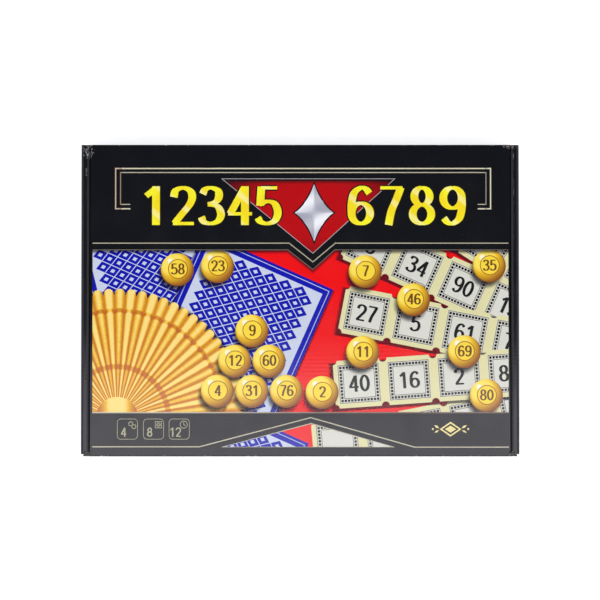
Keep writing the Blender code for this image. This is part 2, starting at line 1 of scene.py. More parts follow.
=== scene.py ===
"""A boxed bingo game: the printed mailer box with the cards, discs, bag and leaflet that it holds."""
import math

import bmesh
import bpy
import numpy as np
from bpy.props import FloatProperty, FloatVectorProperty, PointerProperty
from bpy.types import Operator, Panel, PropertyGroup
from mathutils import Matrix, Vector


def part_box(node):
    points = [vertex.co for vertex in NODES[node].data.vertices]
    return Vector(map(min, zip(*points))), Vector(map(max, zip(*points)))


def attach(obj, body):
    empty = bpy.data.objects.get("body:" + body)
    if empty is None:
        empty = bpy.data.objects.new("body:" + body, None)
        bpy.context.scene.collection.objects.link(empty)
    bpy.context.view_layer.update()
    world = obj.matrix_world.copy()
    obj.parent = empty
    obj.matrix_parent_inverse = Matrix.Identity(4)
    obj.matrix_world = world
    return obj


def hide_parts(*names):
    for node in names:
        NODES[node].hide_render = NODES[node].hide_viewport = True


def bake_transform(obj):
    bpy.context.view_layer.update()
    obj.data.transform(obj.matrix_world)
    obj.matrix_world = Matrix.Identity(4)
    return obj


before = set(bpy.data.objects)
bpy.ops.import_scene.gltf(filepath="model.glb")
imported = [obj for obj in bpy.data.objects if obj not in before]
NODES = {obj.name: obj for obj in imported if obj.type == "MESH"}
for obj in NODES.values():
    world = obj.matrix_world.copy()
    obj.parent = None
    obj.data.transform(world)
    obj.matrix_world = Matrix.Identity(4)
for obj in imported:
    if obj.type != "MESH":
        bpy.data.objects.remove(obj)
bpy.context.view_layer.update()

bl_info = {
    "name": "Boxed bingo game",
    "version": (1, 0, 0),
    "blender": (4, 5, 0),
    "location": "3D View > Sidebar > Bingo game",
    "description": "Dresses a folding game box and what it holds",
    "category": "Object",
}

MM = 0.001
LID_LOW, LID_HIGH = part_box("lid_panel")
WALL_LOW, WALL_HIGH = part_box("right_side_wall")
BOARD = LID_HIGH.z - LID_LOW.z
BEND_RADIUS = 1.95 * MM
SEED = 7

# The share out from a painted shadow's middle at which it begins to fade
SHADOW_CORE = 0.6
# Lengths too small to tell apart, and the least length that is divided by
SAME_PLACE = 1e-9
LEAST_LENGTH = 1e-12
# The four quarters about a rectangle's middle, and a lozenge's corners, both anticlockwise
QUARTERS = np.array([[1, 1], [-1, 1], [-1, -1], [1, -1]])
LOZENGE = np.array([[1, 0], [0, 1], [-1, 0], [0, -1]])


def colour(name, red, green, blue, description):
    """A colour property from 8-bit screen values, kept as linear light."""
    screen = np.array([red, green, blue]) / 255
    linear = np.where(screen <= 0.04045, screen / 12.92, ((screen + 0.055) / 1.055) ** 2.4)
    return FloatVectorProperty(name=name, description=description, subtype="COLOR", size=3,
                               min=0, max=1, default=tuple(float(value) for value in linear))


def length(name, millimetres, description):
    """A length property, given in millimetres and kept in metres."""
    return FloatProperty(name=name, description=description, default=millimetres * MM, min=0,
                         precision=5, subtype="DISTANCE", unit="LENGTH")


class BingoGameSizes(PropertyGroup):
    """Sizes of what is printed, sewn and cast on the game's pieces."""

    film_thickness: length("Ink film", 0.006, "Thickness of one film of ink")
    film_step: length("Film step", 0.008, "Height from one film of ink to the next")
    outer_line: length("Outer frame line", 1.0, "Width of the title frame's outer line")
    inner_line: length("Inner frame line", 0.8, "Width of the title frame's inner line")
    border_line: length("Border line", 0.88, "Width of the lines round the picture")
    hair_line: length("Hair line", 0.5, "Width of the thinnest lines")
    numeral_height: length("Title numeral", 31.0, "Height of the numerals in the title's place")
    ball_radius: length("Ball", 13.2, "Radius of a printed ball")
    ticket_width: length("Ticket width", 40.0, "Width of one printed ticket")
    ticket_height: length("Ticket height", 38.0, "Height of one printed ticket")
    icon_size: length("Sign", 16.5, "Width of one rounded square sign")
    flute_pitch: length("Flute pitch", 3.2, "Distance between two flutes of the board")
    flute_relief: length("Flute relief", 0.006, "Depth of the flutes' print through the face")


class BingoGameColours(PropertyGroup):
    """Colours of the print, the board, the discs and the cloth."""

    black_ink: colour("Black ink", 9, 9, 14, "Ground of the box")
    red_ink: colour("Red ink", 242, 6, 10, "Ground of the picture")
    blue_ink: colour("Blue ink", 8, 16, 170, "Border and lozenges of the lattice panels")
    white_ink: colour("White ink", 204, 211, 228, "Field of the lattice panels")
    cream_ink: colour("Cream ink", 219, 218, 206, "Face of the tickets")
    straw_ink: colour("Straw ink", 226, 220, 168, "Rim of the tickets")
    type_ink: colour("Type ink", 26, 24, 24, "Numerals on the tickets")
    line_ink: colour("Line ink", 214, 208, 180, "Pale gold of the frame lines")
    sign_ink: colour("Sign ink", 176, 172, 140, "Dull gold of the signs")
    gold_ink: colour("Gold ink", 255, 206, 38, "Gold of the balls and the fan")
    amber_ink: colour("Amber ink", 196, 104, 36, "Shade of the balls and the fan")
    title_ink: colour("Title ink", 252, 244, 44, "Yellow of the title numerals")
    silver_ink: colour("Silver ink", 206, 208, 218, "Silver of the star")
    paper_core: colour("Paper core", 196, 196, 194, "Torn paper under the laminate")
    kraft: colour("Kraft", 168, 130, 92, "Inner liner of the board")
    card_ink: colour("Card blue", 34, 52, 150, "Ground of the bingo cards")
    disc: colour("Disc plastic", 238, 202, 118, "Plastic of the number discs")
    cloth: colour("Bag cloth", 226, 194, 128, "Cotton of the bag")
    cord: colour("Drawstring", 150, 108, 62, "Cotton of the drawstring")
    floor: colour("Floor", 246, 246, 246, "Pale floor")


def settings():
    """The sizes and colours that hang on the scene."""
    scene = bpy.context.scene
    return scene.bingo_sizes, scene.bingo_colours


# Facets


class Shape:
    """Facets as arrays: points, the faces' corners in a row and their sizes, the points' tints and places."""

    def __init__(self, points, corners, sizes, tint=(1, 1, 1), place=None):
        self.points = np.asarray(points, float)
        self.corners = np.asarray(corners, int).ravel()
        self.sizes = np.asarray(sizes, int)
        count = len(self.points)
        self.tint = np.broadcast_to(np.asarray(tint, float), (count, 3))
        self.place = np.zeros((count, 2)) if place is None else np.asarray(place, float)

    def inked(self, tint):
        """The same facets in one tint."""
        return Shape(self.points, self.corners, self.sizes, tint, self.place)

    def moved(self, points):
        """The same facets with their points elsewhere."""
        return Shape(points, self.corners, self.sizes, self.tint, self.place)

    def at(self, centre=(0, 0), turn=0.0, scale=(1, 1)):
        """The same facets scaled, turned about +Z by an angle in degrees, and moved."""
        angle = math.radians(turn)
        x, y = (self.points[:, :2] * np.asarray(scale)).T
        return self.moved(np.column_stack([centre[0] + x * math.cos(angle) - y * math.sin(angle),
                                           centre[1] + x * math.sin(angle) + y * math.cos(angle),
                                           self.points[:, 2]]))

    def lifted(self, low, thickness):
        """A unit-thick solid brought to its real height and thickness."""
        return self.moved(np.column_stack([self.points[:, :2], low + self.points[:, 2] * thickness]))


def facets(points, *groups, tint=(1, 1, 1), place=None):
    """A shape from points and groups of faces, each an array with one row a face."""
    corners = np.concatenate([np.asarray(group, int).ravel() for group in groups])
    sizes = np.concatenate([np.full(len(group), np.shape(group)[1]) for group in groups])
    points = np.asarray(points, float)
    if points.shape[1] == 2:
        points = np.column_stack([points, np.zeros(len(points))])
    return Shape(points, corners, sizes, tint, place)


def joined(shapes):
    """All the shapes as one, each one's corners counted on from the last one's points."""
    starts = np.cumsum([0] + [len(shape.points) for shape in shapes[:-1]])
    corners = np.concatenate([shape.corners + start for shape, start in zip(shapes, starts)])
    points, sizes, tint, place = (np.concatenate([getattr(shape, part) for shape in shapes])
                                  for part in ("points", "sizes", "tint", "place"))
    return Shape(points, corners, sizes, tint, place)


def grid_faces(rows, columns, round_rows=False, round_columns=False):
    """Quads between neighbours in a grid of points stored row by row, closed round where asked."""
    row, column = np.meshgrid(np.arange(rows if round_rows else rows - 1),
                              np.arange(columns if round_columns else columns - 1), indexing="ij")
    below = (row + 1) % rows
    right = (column + 1) % columns
    return np.stack([row * columns + column, below * columns + column,
                     below * columns + right, row * columns + right], -1).reshape(-1, 4)


def solid(flat):
    """Closes a flat shape: its facets at height 1, again at 0 facing down, and a wall on each free edge."""
    count = len(flat.points)
    low = flat.points * [1, 1, 0]
    high = low + [0, 0, 1]
    last = np.cumsum(flat.sizes) - 1
    follow = np.arange(len(flat.corners)) + 1
    follow[last] = last + 1 - flat.sizes
    start, end = flat.corners, flat.corners[follow]
    rim = ~np.isin(start * count + end, end * count + start)
    walls = np.stack([end[rim], start[rim], start[rim] + count, end[rim] + count], -1)
    return Shape(np.concatenate([high, low]),
                 np.concatenate([flat.corners, (flat.corners + count)[::-1], walls.ravel()]),
                 np.concatenate([flat.sizes, flat.sizes[::-1], np.full(len(walls), 4)]),
                 np.concatenate([flat.tint, flat.tint]), np.concatenate([flat.place, flat.place]))


def unit(vectors):
    """Each row at length one."""
    return vectors / np.maximum(np.linalg.norm(vectors, axis=-1, keepdims=True), LEAST_LENGTH)


def full_turn(count):
    """Angles at equal steps round a full turn."""
    return np.arange(count) * 2 * np.pi / count


def ribbon(path, width, closed=False):
    """A flat band along a path: every point goes both ways along its corner's bisector, by half the width
    there over the cosine of half the turn, which counts as no less than a limit. Its place is the share of
    the length, and -1 to 1 across."""
    least_cosine = 0.35
    path = np.asarray(path, float)
    before, after = np.roll(path, 1, 0), np.roll(path, -1, 0)
    if not closed:
        before[0] = 2 * path[0] - path[1]
        after[-1] = 2 * path[-1] - path[-2]
    arrive, leave = unit(path - before), unit(after - path)
    along = unit(arrive + leave)
    across = np.column_stack([-along[:, 1], along[:, 0]])
    half = np.asarray(width) / 2 / np.maximum((along * arrive).sum(1), least_cosine)
    offset = across * np.broadcast_to(half, len(path))[:, None]
    points = np.stack([path - offset, path + offset], 1).reshape(-1, 2)
    travelled = np.cumsum(np.linalg.norm(np.diff(path, axis=0, prepend=path[:1]), axis=1))
    share = np.repeat(travelled / travelled[-1], 2)
    place = np.column_stack([share, np.tile([-1.0, 1.0], len(path))])
    return facets(points, grid_faces(len(path), 2, round_rows=closed), place=place)


def filled(outline, rings=1, middle=(0, 0)):
    """Fills an outline that shows whole from its middle: the outline drawn in by equal shares, and a fan
    inside. Its place is the point's own position, in half widths of the outline."""
    outline = np.asarray(outline, float) - middle
    shares = np.arange(rings, 0, -1) / rings
    points = (shares[:, None, None] * outline).reshape(-1, 2)
    points = np.concatenate([points, [[0, 0]]])
    count = len(outline)
    step = np.arange(count)
    fan = np.stack([step + (rings - 1) * count, (step + 1) % count + (rings - 1) * count,
                    np.full(count, rings * count)], -1)
    groups = [fan]
    if rings > 1:
        groups.append(grid_faces(rings, count, round_columns=True)[:, ::-1])
    return facets(points + middle, *groups, place=points / np.abs(outline).max(0))


def between(outer, inner):
    """The flat ring from an outline to a smaller one with as many points."""
    points = np.concatenate([outer, inner])
    return facets(points, grid_faces(2, len(outer), round_columns=True)[:, ::-1])


def circle(radius, sides=40, height=None):
    """Points round a circle, or an ellipse where a height is given, anticlockwise."""
    angle = full_turn(sides)
    return np.column_stack([radius * np.cos(angle), (height or radius) * np.sin(angle)])


def rounded(width, height, radius, steps=5):
    """A rectangle's outline with quarter circles at its corners, anticlockwise."""
    angle = np.arange(steps + 1) * np.pi / 2 / steps
    turns = angle[None, :] + np.arange(4)[:, None] * np.pi / 2
    centres = QUARTERS * [width / 2 - radius, height / 2 - radius]
    return (centres[:, None, :] + radius * np.stack([np.cos(turns), np.sin(turns)], -1)).reshape(-1, 2)


def repeated(shape, centres, turns=0.0):
    """Copies of a shape at many places, each turned about +Z by its own angle in degrees."""
    centres = np.asarray(centres, float).reshape(-1, 2)
    count, size = len(centres), len(shape.points)
    angle = np.radians(np.broadcast_to(turns, count))[:, None]
    x, y = shape.points[:, 0], shape.points[:, 1]
    points = np.stack([centres[:, :1] + x * np.cos(angle) - y * np.sin(angle),
                       centres[:, 1:] + x * np.sin(angle) + y * np.cos(angle),
                       np.broadcast_to(shape.points[:, 2], (count, size))], -1).reshape(-1, 3)
    corners = shape.corners[None] + np.arange(count)[:, None] * size
    return Shape(points, corners, np.tile(shape.sizes, count), np.tile(shape.tint, (count, 1)),
                 np.tile(shape.place, (count, 1)))


def rectangle(width, height):
    """A rectangle's outline, anticlockwise."""
    return np.array([[-1, -1], [1, -1], [1, 1], [-1, 1]]) * [width / 2, height / 2]


def notched(width, height, radius, steps=4):
    """A ticket's outline, anticlockwise: a rectangle with a quarter circle bitten out of each corner."""
    bite = 3 * np.pi / 2 - np.arange(steps + 1) * np.pi / 2 / steps
    turns = bite[None, :] + np.arange(4)[:, None] * np.pi / 2
    corner = QUARTERS * [width / 2, height / 2]
    return (corner[:, None, :] + radius * np.stack([np.cos(turns), np.sin(turns)], -1)).reshape(-1, 2)


def soft_edged(outline, spread, strength):
    """A painted shadow: an outline and a wider one round it. Its place says how far out a point is, and its
    tint how dark the shadow is."""
    inner = filled(outline)
    rim = between(outline + unit(outline) * spread, outline)
    count = len(outline)
    share = np.repeat([1.0, SHADOW_CORE], count)
    rim.place = np.column_stack([share, 0 * share])
    inner.place = np.full((len(inner.points), 2), [SHADOW_CORE, 0.0])
    return joined([inner, rim]).inked((strength, 0, 0))


def clipped(flat, corners):
    """What of a flat shape lies inside a convex outline, given anticlockwise."""
    mesh = bpy.data.meshes.new("clip")
    fill_mesh(mesh, flat)
    work = bmesh.new()
    work.from_mesh(mesh)
    bmesh.ops.triangulate(work, faces=[face for face in work.faces if len(face.verts) > 4])
    for (x0, y0), (x1, y1) in zip(corners, list(corners[1:]) + [corners[0]]):
        bmesh.ops.bisect_plane(work, geom=work.verts[:] + work.edges[:] + work.faces[:],
                               dist=SAME_PLACE, plane_co=(x0, y0, 0), plane_no=(y1 - y0, x0 - x1, 0),
                               clear_outer=True)
    work.to_mesh(mesh)
    work.free()
    shape = read_mesh(mesh)
    bpy.data.meshes.remove(mesh)
    return shape


def fill_mesh(mesh, shape):
    """Writes a shape into an empty mesh, its tint and place as point attributes."""
    mesh.vertices.add(len(shape.points))
    mesh.vertices.foreach_set("co", shape.points.astype(np.float32).ravel())
    mesh.loops.add(len(shape.corners))
    mesh.loops.foreach_set("vertex_index", shape.corners.astype(np.int32))
    mesh.polygons.add(len(shape.sizes))
    mesh.polygons.foreach_set("loop_start", (np.cumsum(shape.sizes) - shape.sizes).astype(np.int32))
    mesh.update(calc_edges=True)
    tint = mesh.attributes.new("tint", "FLOAT_VECTOR", "POINT")
    tint.data.foreach_set("vector", shape.tint.astype(np.float32).ravel())
    place = mesh.attributes.new("place", "FLOAT_VECTOR", "POINT")
    place.data.foreach_set("vector", np.column_stack(
        [shape.place, np.zeros(len(shape.points))]).astype(np.float32).ravel())


def read_mesh(mesh):
    """A mesh's faces, tint and place as a shape."""
    count = len(mesh.vertices)
    points, tint, place = np.zeros(count * 3), np.ones(count * 3), np.zeros(count * 3)
    mesh.vertices.foreach_get("co", points)
    if "tint" in mesh.attributes:
        mesh.attributes["tint"].data.foreach_get("vector", tint)
        mesh.attributes["place"].data.foreach_get("vector", place)
    corners = np.zeros(len(mesh.loops), int)
    mesh.loops.foreach_get("vertex_index", corners)
    sizes = np.zeros(len(mesh.polygons), int)
    mesh.polygons.foreach_get("loop_total", sizes)
    return Shape(points.reshape(-1, 3), corners, sizes, tint.reshape(-1, 3), place.reshape(-1, 3)[:, :2])


def shown(name, shape):
    """A new object that shows a shape."""
    mesh = bpy.data.meshes.new(name)
    fill_mesh(mesh, shape)
    made = bpy.data.objects.new(name, mesh)
    bpy.context.scene.collection.objects.link(made)
    return made


def discard(holder):
    """Removes a work object and its mesh."""
    mesh = holder.data
    bpy.data.objects.remove(holder)
    bpy.data.meshes.remove(mesh)


def united(solids):
    """One closed solid from solids that overlap."""
    holders = [shown("work", shape) for shape in solids]
    for other in holders[1:]:
        cut = holders[0].modifiers.new("union", "BOOLEAN")
        cut.operation = "UNION"
        cut.object = other
    bpy.context.view_layer.update()
    result = bpy.data.meshes.new_from_object(
        holders[0].evaluated_get(bpy.context.evaluated_depsgraph_get()))
    shape = read_mesh(result)
    bpy.data.meshes.remove(result)
    for holder in holders:
        discard(holder)
    return shape


def piece(name, shape, body, finish, smooth=False):
    """A named object that shows a shape, rides on a body and takes a finish."""
    made = shown(name, shape)
    made.data.validate()
    if smooth:
        made.data.shade_smooth()
    else:
        made.data.shade_flat()
    made.data.materials.append(finish.material)
    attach(made, body)
    return made


# Numerals

# Centre lines of the pen strokes, one unit high. A stroke is a curve through its points, straight lines, or a
# loop given by its middle and its half width and height.
STROKES = {
    "0": [("loop", (0.31, 0.50), (0.225, 0.455))],
    "1": [("line", (0.10, 0.75), (0.34, 0.955)), ("line", (0.34, 1.0), (0.34, 0.0))],
    "2": [("curve", (0.08, 0.72), (0.13, 0.89), (0.31, 0.96), (0.48, 0.88), (0.53, 0.72), (0.46, 0.52),
           (0.27, 0.27), (0.10, 0.04)), ("line", (0.06, 0.04), (0.57, 0.04))],
    "3": [("curve", (0.09, 0.80), (0.16, 0.92), (0.30, 0.96), (0.46, 0.89), (0.49, 0.74), (0.41, 0.60),
           (0.22, 0.53)), ("curve", (0.22, 0.53), (0.45, 0.48), (0.54, 0.28), (0.47, 0.11), (0.30, 0.04),
                           (0.13, 0.08), (0.06, 0.21))],
    "4": [("line", (0.42, 0.96), (0.07, 0.29)), ("line", (0.02, 0.29), (0.60, 0.29)),
          ("line", (0.43, 1.0), (0.43, 0.0))],
    "5": [("line", (0.13, 0.96), (0.52, 0.96)), ("line", (0.14, 0.99), (0.11, 0.50)),
          ("curve", (0.10, 0.53), (0.28, 0.61), (0.46, 0.55), (0.54, 0.33), (0.47, 0.12), (0.29, 0.04),
           (0.13, 0.08), (0.05, 0.19))],
    "6": [("loop", (0.31, 0.30), (0.225, 0.26)),
          ("curve", (0.52, 0.82), (0.43, 0.93), (0.31, 0.96), (0.15, 0.83), (0.085, 0.56), (0.085, 0.28))],
    "7": [("line", (0.04, 0.96), (0.58, 0.96)),
          ("curve", (0.54, 0.97), (0.43, 0.66), (0.31, 0.36), (0.24, 0.0))],
    "8": [("loop", (0.31, 0.74), (0.185, 0.22)), ("loop", (0.31, 0.28), (0.225, 0.24))],
}
GLYPH_WIDTH = 0.62


def smoothed(points, steps):
    """A curve through points: each span a cubic whose ends follow half the way between the neighbours."""
    points = np.asarray(points, float)
    padded = np.concatenate([2 * points[:1] - points[1:2], points, 2 * points[-1:] - points[-2:-1]])
    a, b, c, d = padded[:-3, None], padded[1:-2, None], padded[2:-1, None], padded[3:, None]
    t = (np.arange(steps) / steps)[None, :, None]
    spans = 0.5 * (2 * b + (c - a) * t + (2 * a - 5 * b + 4 * c - d) * t ** 2
                   + (3 * b - a - 3 * c + d) * t ** 3)
    return np.concatenate([spans.reshape(-1, points.shape[1]), points[-1:]])


def stroke(kind, points, thick, thin, steps):
    """A broad-nibbed pen's stroke, thin on a level run and thick on an upright one, by a power of the
    direction's sine."""
    closed = kind == "loop"
    if closed:
        path = circle(points[1][0], steps * 6, points[1][1]) + points[0]
    elif kind == "line":
        path = np.asarray(points, float)
    else:
        path = smoothed(points, steps)
    ahead = np.roll(path, -1, 0) - np.roll(path, 1, 0)
    if not closed:
        ahead[0], ahead[-1] = path[1] - path[0], path[-1] - path[-2]
    width = thin + (thick - thin) * np.abs(unit(ahead)[:, 1]) ** 1.3
    return solid(ribbon(path, width, closed))


def top_of(closed):
    """The faces at the top of a closed unit-thick shape, as a flat shape."""
    starts = np.cumsum(closed.sizes) - closed.sizes
    high = np.minimum.reduceat(closed.points[closed.corners, 2], starts) > 0.5
    used, corners = np.unique(closed.corners[np.repeat(high, closed.sizes)], return_inverse=True)
    return Shape(closed.points[used] * [1, 1, 0], corners, closed.sizes[high], place=closed.place[used])


def numerals(thick, thin, steps):
    """Every digit as a flat shape one unit high, its strokes united."""
    digits = {}
    for digit, strokes in STROKES.items():
        solids = [stroke(kind, points, thick, thin, steps) for kind, *points in strokes]
        digits[digit] = top_of(united(solids) if len(solids) > 1 else solids[0])
    digits["9"] = digits["6"].at((GLYPH_WIDTH, 1), 180)
    return digits


def number(digits, text, height, spacing=1.12):
    """A number's digits side by side, its middle at the origin."""
    pitch = GLYPH_WIDTH * spacing
    shapes = [digits[digit].at(((i - (len(text) - 1) / 2) * pitch - GLYPH_WIDTH / 2, -0.5))
              for i, digit in enumerate(text)]
    return joined(shapes).at(scale=(height, height))


# Finishes


def shaded(shade, share):
    """A colour made darker, or lighter, by a share."""
    return [share * value for value in shade]


def maths(operation, swapped=False):
    """A method that adds a Math node on a reading and the values given, the reading last if swapped."""
    def combined(self, *others):
        terms = (*others, self) if swapped else (self, *others)
        return self.finish.node("ShaderNodeMath", {"operation": operation}, dict(enumerate(terms)))
    return combined


class Reading:
    """A node's output with a number's arithmetic: each operator adds a Math node."""

    def __init__(self, finish, socket):
        self.finish = finish
        self.socket = socket

    __add__ = __radd__ = maths("ADD")
    __sub__ = maths("SUBTRACT")
    __rsub__ = maths("SUBTRACT", swapped=True)
    __mul__ = __rmul__ = maths("MULTIPLY")
    __pow__ = maths("POWER")
    __gt__ = maths("GREATER_THAN")
    __lt__ = maths("LESS_THAN")
    __abs__ = maths("ABSOLUTE")
    least = maths("MINIMUM")
    most = maths("MAXIMUM")
    cosine = maths("COSINE")

    def wave(self, period):
        """A cosine of this length, from 0 to 1."""
        return (self * (2 * math.pi / period)).cosine() * 0.5 + 0.5

    def hypotenuse(self, other):
        """The distance across two sides at right angles."""
        return (self * self + other * other) ** 0.5

    def rise(self, low, high):
        """A smooth step from 0 at one value to 1 at another."""
        return self.finish.node("ShaderNodeMapRange", {"interpolation_type": "SMOOTHSTEP", "clamp": True},
                                {"Value": self, "From Min": low, "From Max": high})


class Finish:
    """A procedural material: a Principled shader and the nodes that vary its colour, roughness and normal."""

    def __init__(self, name, **constants):
        self.material = bpy.data.materials.new(name)
        self.material.use_nodes = True
        self.tree = self.material.node_tree
        self.shader = self.tree.nodes["Principled BSDF"]
        for socket, value in constants.items():
            self.shader.inputs[socket.replace("_", " ")].default_value = value
        self.object_place = self.node("ShaderNodeTexCoord", output="Object")

    def node(self, kind, settings=None, sockets=None, output=0):
        """Adds a node: its settings first, a ramp's stops among them, then its sockets' values or links."""
        made = self.tree.nodes.new(kind)
        for setting, value in (settings or {}).items():
            if setting == "stops":
                ramp = made.color_ramp.elements
                while len(ramp) < len(value):
                    ramp.new(1)
                for element, (position, shade) in zip(ramp, value):
                    element.position = position
                    element.color = (*shade, 1)
            else:
                setattr(made, setting, value)
        for socket, value in (sockets or {}).items():
            if isinstance(value, Reading):
                self.tree.links.new(value.socket, made.inputs[socket])
            else:
                made.inputs[socket].default_value = value
        return Reading(self, made.outputs[output])

    def feed(self, **readings):
        """Links readings to the shader's own sockets."""
        for socket, reading in readings.items():
            self.tree.links.new(reading.socket, self.shader.inputs[socket.replace("_", " ")])

    def axes(self, vector=None):
        """The three parts of a vector, the object's own coordinates if none is given."""
        source = vector or self.object_place
        split = self.tree.nodes.new("ShaderNodeSeparateXYZ")
        self.tree.links.new(source.socket, split.inputs[0])
        return [Reading(self, socket) for socket in split.outputs]

    def attribute(self, name):
        """A point attribute as a vector."""
        return self.node("ShaderNodeAttribute", {"attribute_name": name}, output="Vector")

    def parts(self, name):
        """The three parts of a point attribute."""
        return self.axes(self.attribute(name))

    def grain(self, size, detail=2.0, stretch=(1, 1, 1), shift=0.0, roughness=0.5, vector=None):
        """Noise with features of about a size in metres, longer along an axis where it is stretched."""
        place = self.node("ShaderNodeMapping", None, {
            "Vector": vector or self.object_place, "Location": (shift, shift, shift),
            "Scale": tuple(1 / (size * factor) for factor in stretch)})
        return self.node("ShaderNodeTexNoise", None, {"Vector": place, "Scale": 1.0, "Detail": detail,
                                                      "Roughness": roughness}, "Fac")

    def mixed(self, share, first, second, blend="MIX"):
        """One colour over another by a share."""
        sockets = {0: share}
        for index, shade in ((6, first), (7, second)):
            sockets[index] = shade if isinstance(shade, Reading) else (*shade, 1)
        return self.node("ShaderNodeMix", {"data_type": "RGBA", "blend_type": blend}, sockets, 2)

    def flat(self, shade):
        """One colour all over."""
        return self.mixed(0.0, shade, shade)

    def relief(self, height, depth, under=None):
        """A bump of a height from 0 to 1, its depth in metres, over another bump if one is given."""
        sockets = {"Height": height, "Distance": depth, "Strength": 1.0}
        if under:
            sockets["Normal"] = under
        return self.node("ShaderNodeBump", None, sockets, "Normal")


# Board and print


# Where the laminate is crumpled or scuffed: middle and half widths in millimetres
SCUFFS = ((-169.3, 119.6, 5.0, 7.0), (169.5, 123.2, 8.5, 2.1), (-171.8, -62.7, 1.2, 1.8),
          (-169.6, -122.4, 3.2, 2.3), (168.8, -122.4, 2.8, 2.3), (-73.2, -124.2, 1.8, 1.0),
          (-170.8, 102.8, 0.9, 4.0))
# Millimetres from the box's middle: where its edges start to rub, its corners that tear, and on the side
# strips the inner bend's start, the printed top's start, the crease and the outer bend's start
RUBBED = (173.6, 123.1)
TORN = (174.6, 124.2)
INNER_BEND, STRIP_TOP, STRIP_CREASE, OUTER_BEND = 168.0, 168.3, 170.6, 172.6


def scuffs(finish, x, y, z, tears):
    """How near a place on the box's top is to a scuff's middle, from 0 to 1, and the marks there: pale lines
    where noise is close to its middle value, partly cracked print and partly painted glints along the
    crumples, and torn flecks where it is high."""
    near = None
    for across, along, half_x, half_y in SCUFFS:
        u = (x - across * MM) * (1 / (half_x * MM))
        v = (y - along * MM) * (1 / (half_y * MM))
        spot = (1 - (u * u + v * v)).most(0.0)
        near = spot if near is None else near.most(spot)
    near = near * (z - LID_HIGH.z).rise(-2.2 * MM, -1.2 * MM)
    streak = finish.grain(5.5 * MM, 1, (1, 1.8, 1), 61.0)
    # Painted glints: thin pale lines along the crumples, in the paper's colour, stand for the glints on the
    # creased laminate as well as for cracked print
    lines = 1 - abs(streak - 0.5).rise(0.004, 0.03)
    flecks = (tears + near * 0.12).rise(0.62, 0.68)
    return near, (lines * 0.6 + flecks * 0.6).least(1.0) * near.rise(0.0, 0.35)


def wear(finish, x, y, z, tears):
    """The paper torn at the box's corners, and with it the rubbed edges and stray specks."""
    near_x = (abs(x) - RUBBED[0] * MM).rise(0.0, 1.2 * MM)
    near_y = (abs(y) - RUBBED[1] * MM).rise(0.0, 1.2 * MM)
    near_z = abs(z - LID_HIGH.z / 2)
    brink = (near_z - LID_HIGH.z / 2).rise(-1.4 * MM, -0.2 * MM)
    reach = (TORN[0] * MM - abs(x)).most(0).hypotenuse((TORN[1] * MM - abs(y)).most(0))
    torn = (tears - reach * (1 / (15 * MM))).rise(0.50, 0.56) * near_z.rise(14 * MM, 23 * MM)
    edge = (near_x * near_y).most(near_x * brink).most(near_y * brink)
    rubbed = (finish.grain(2.6 * MM, 4, shift=9.4, roughness=0.7) + edge * 0.13).rise(0.70, 0.76) * edge
    speck = finish.grain(1.0 * MM, 2, shift=21.0).rise(0.765, 0.80)
    return torn, (torn + rubbed * 0.75 + speck * 0.35).least(1.0)


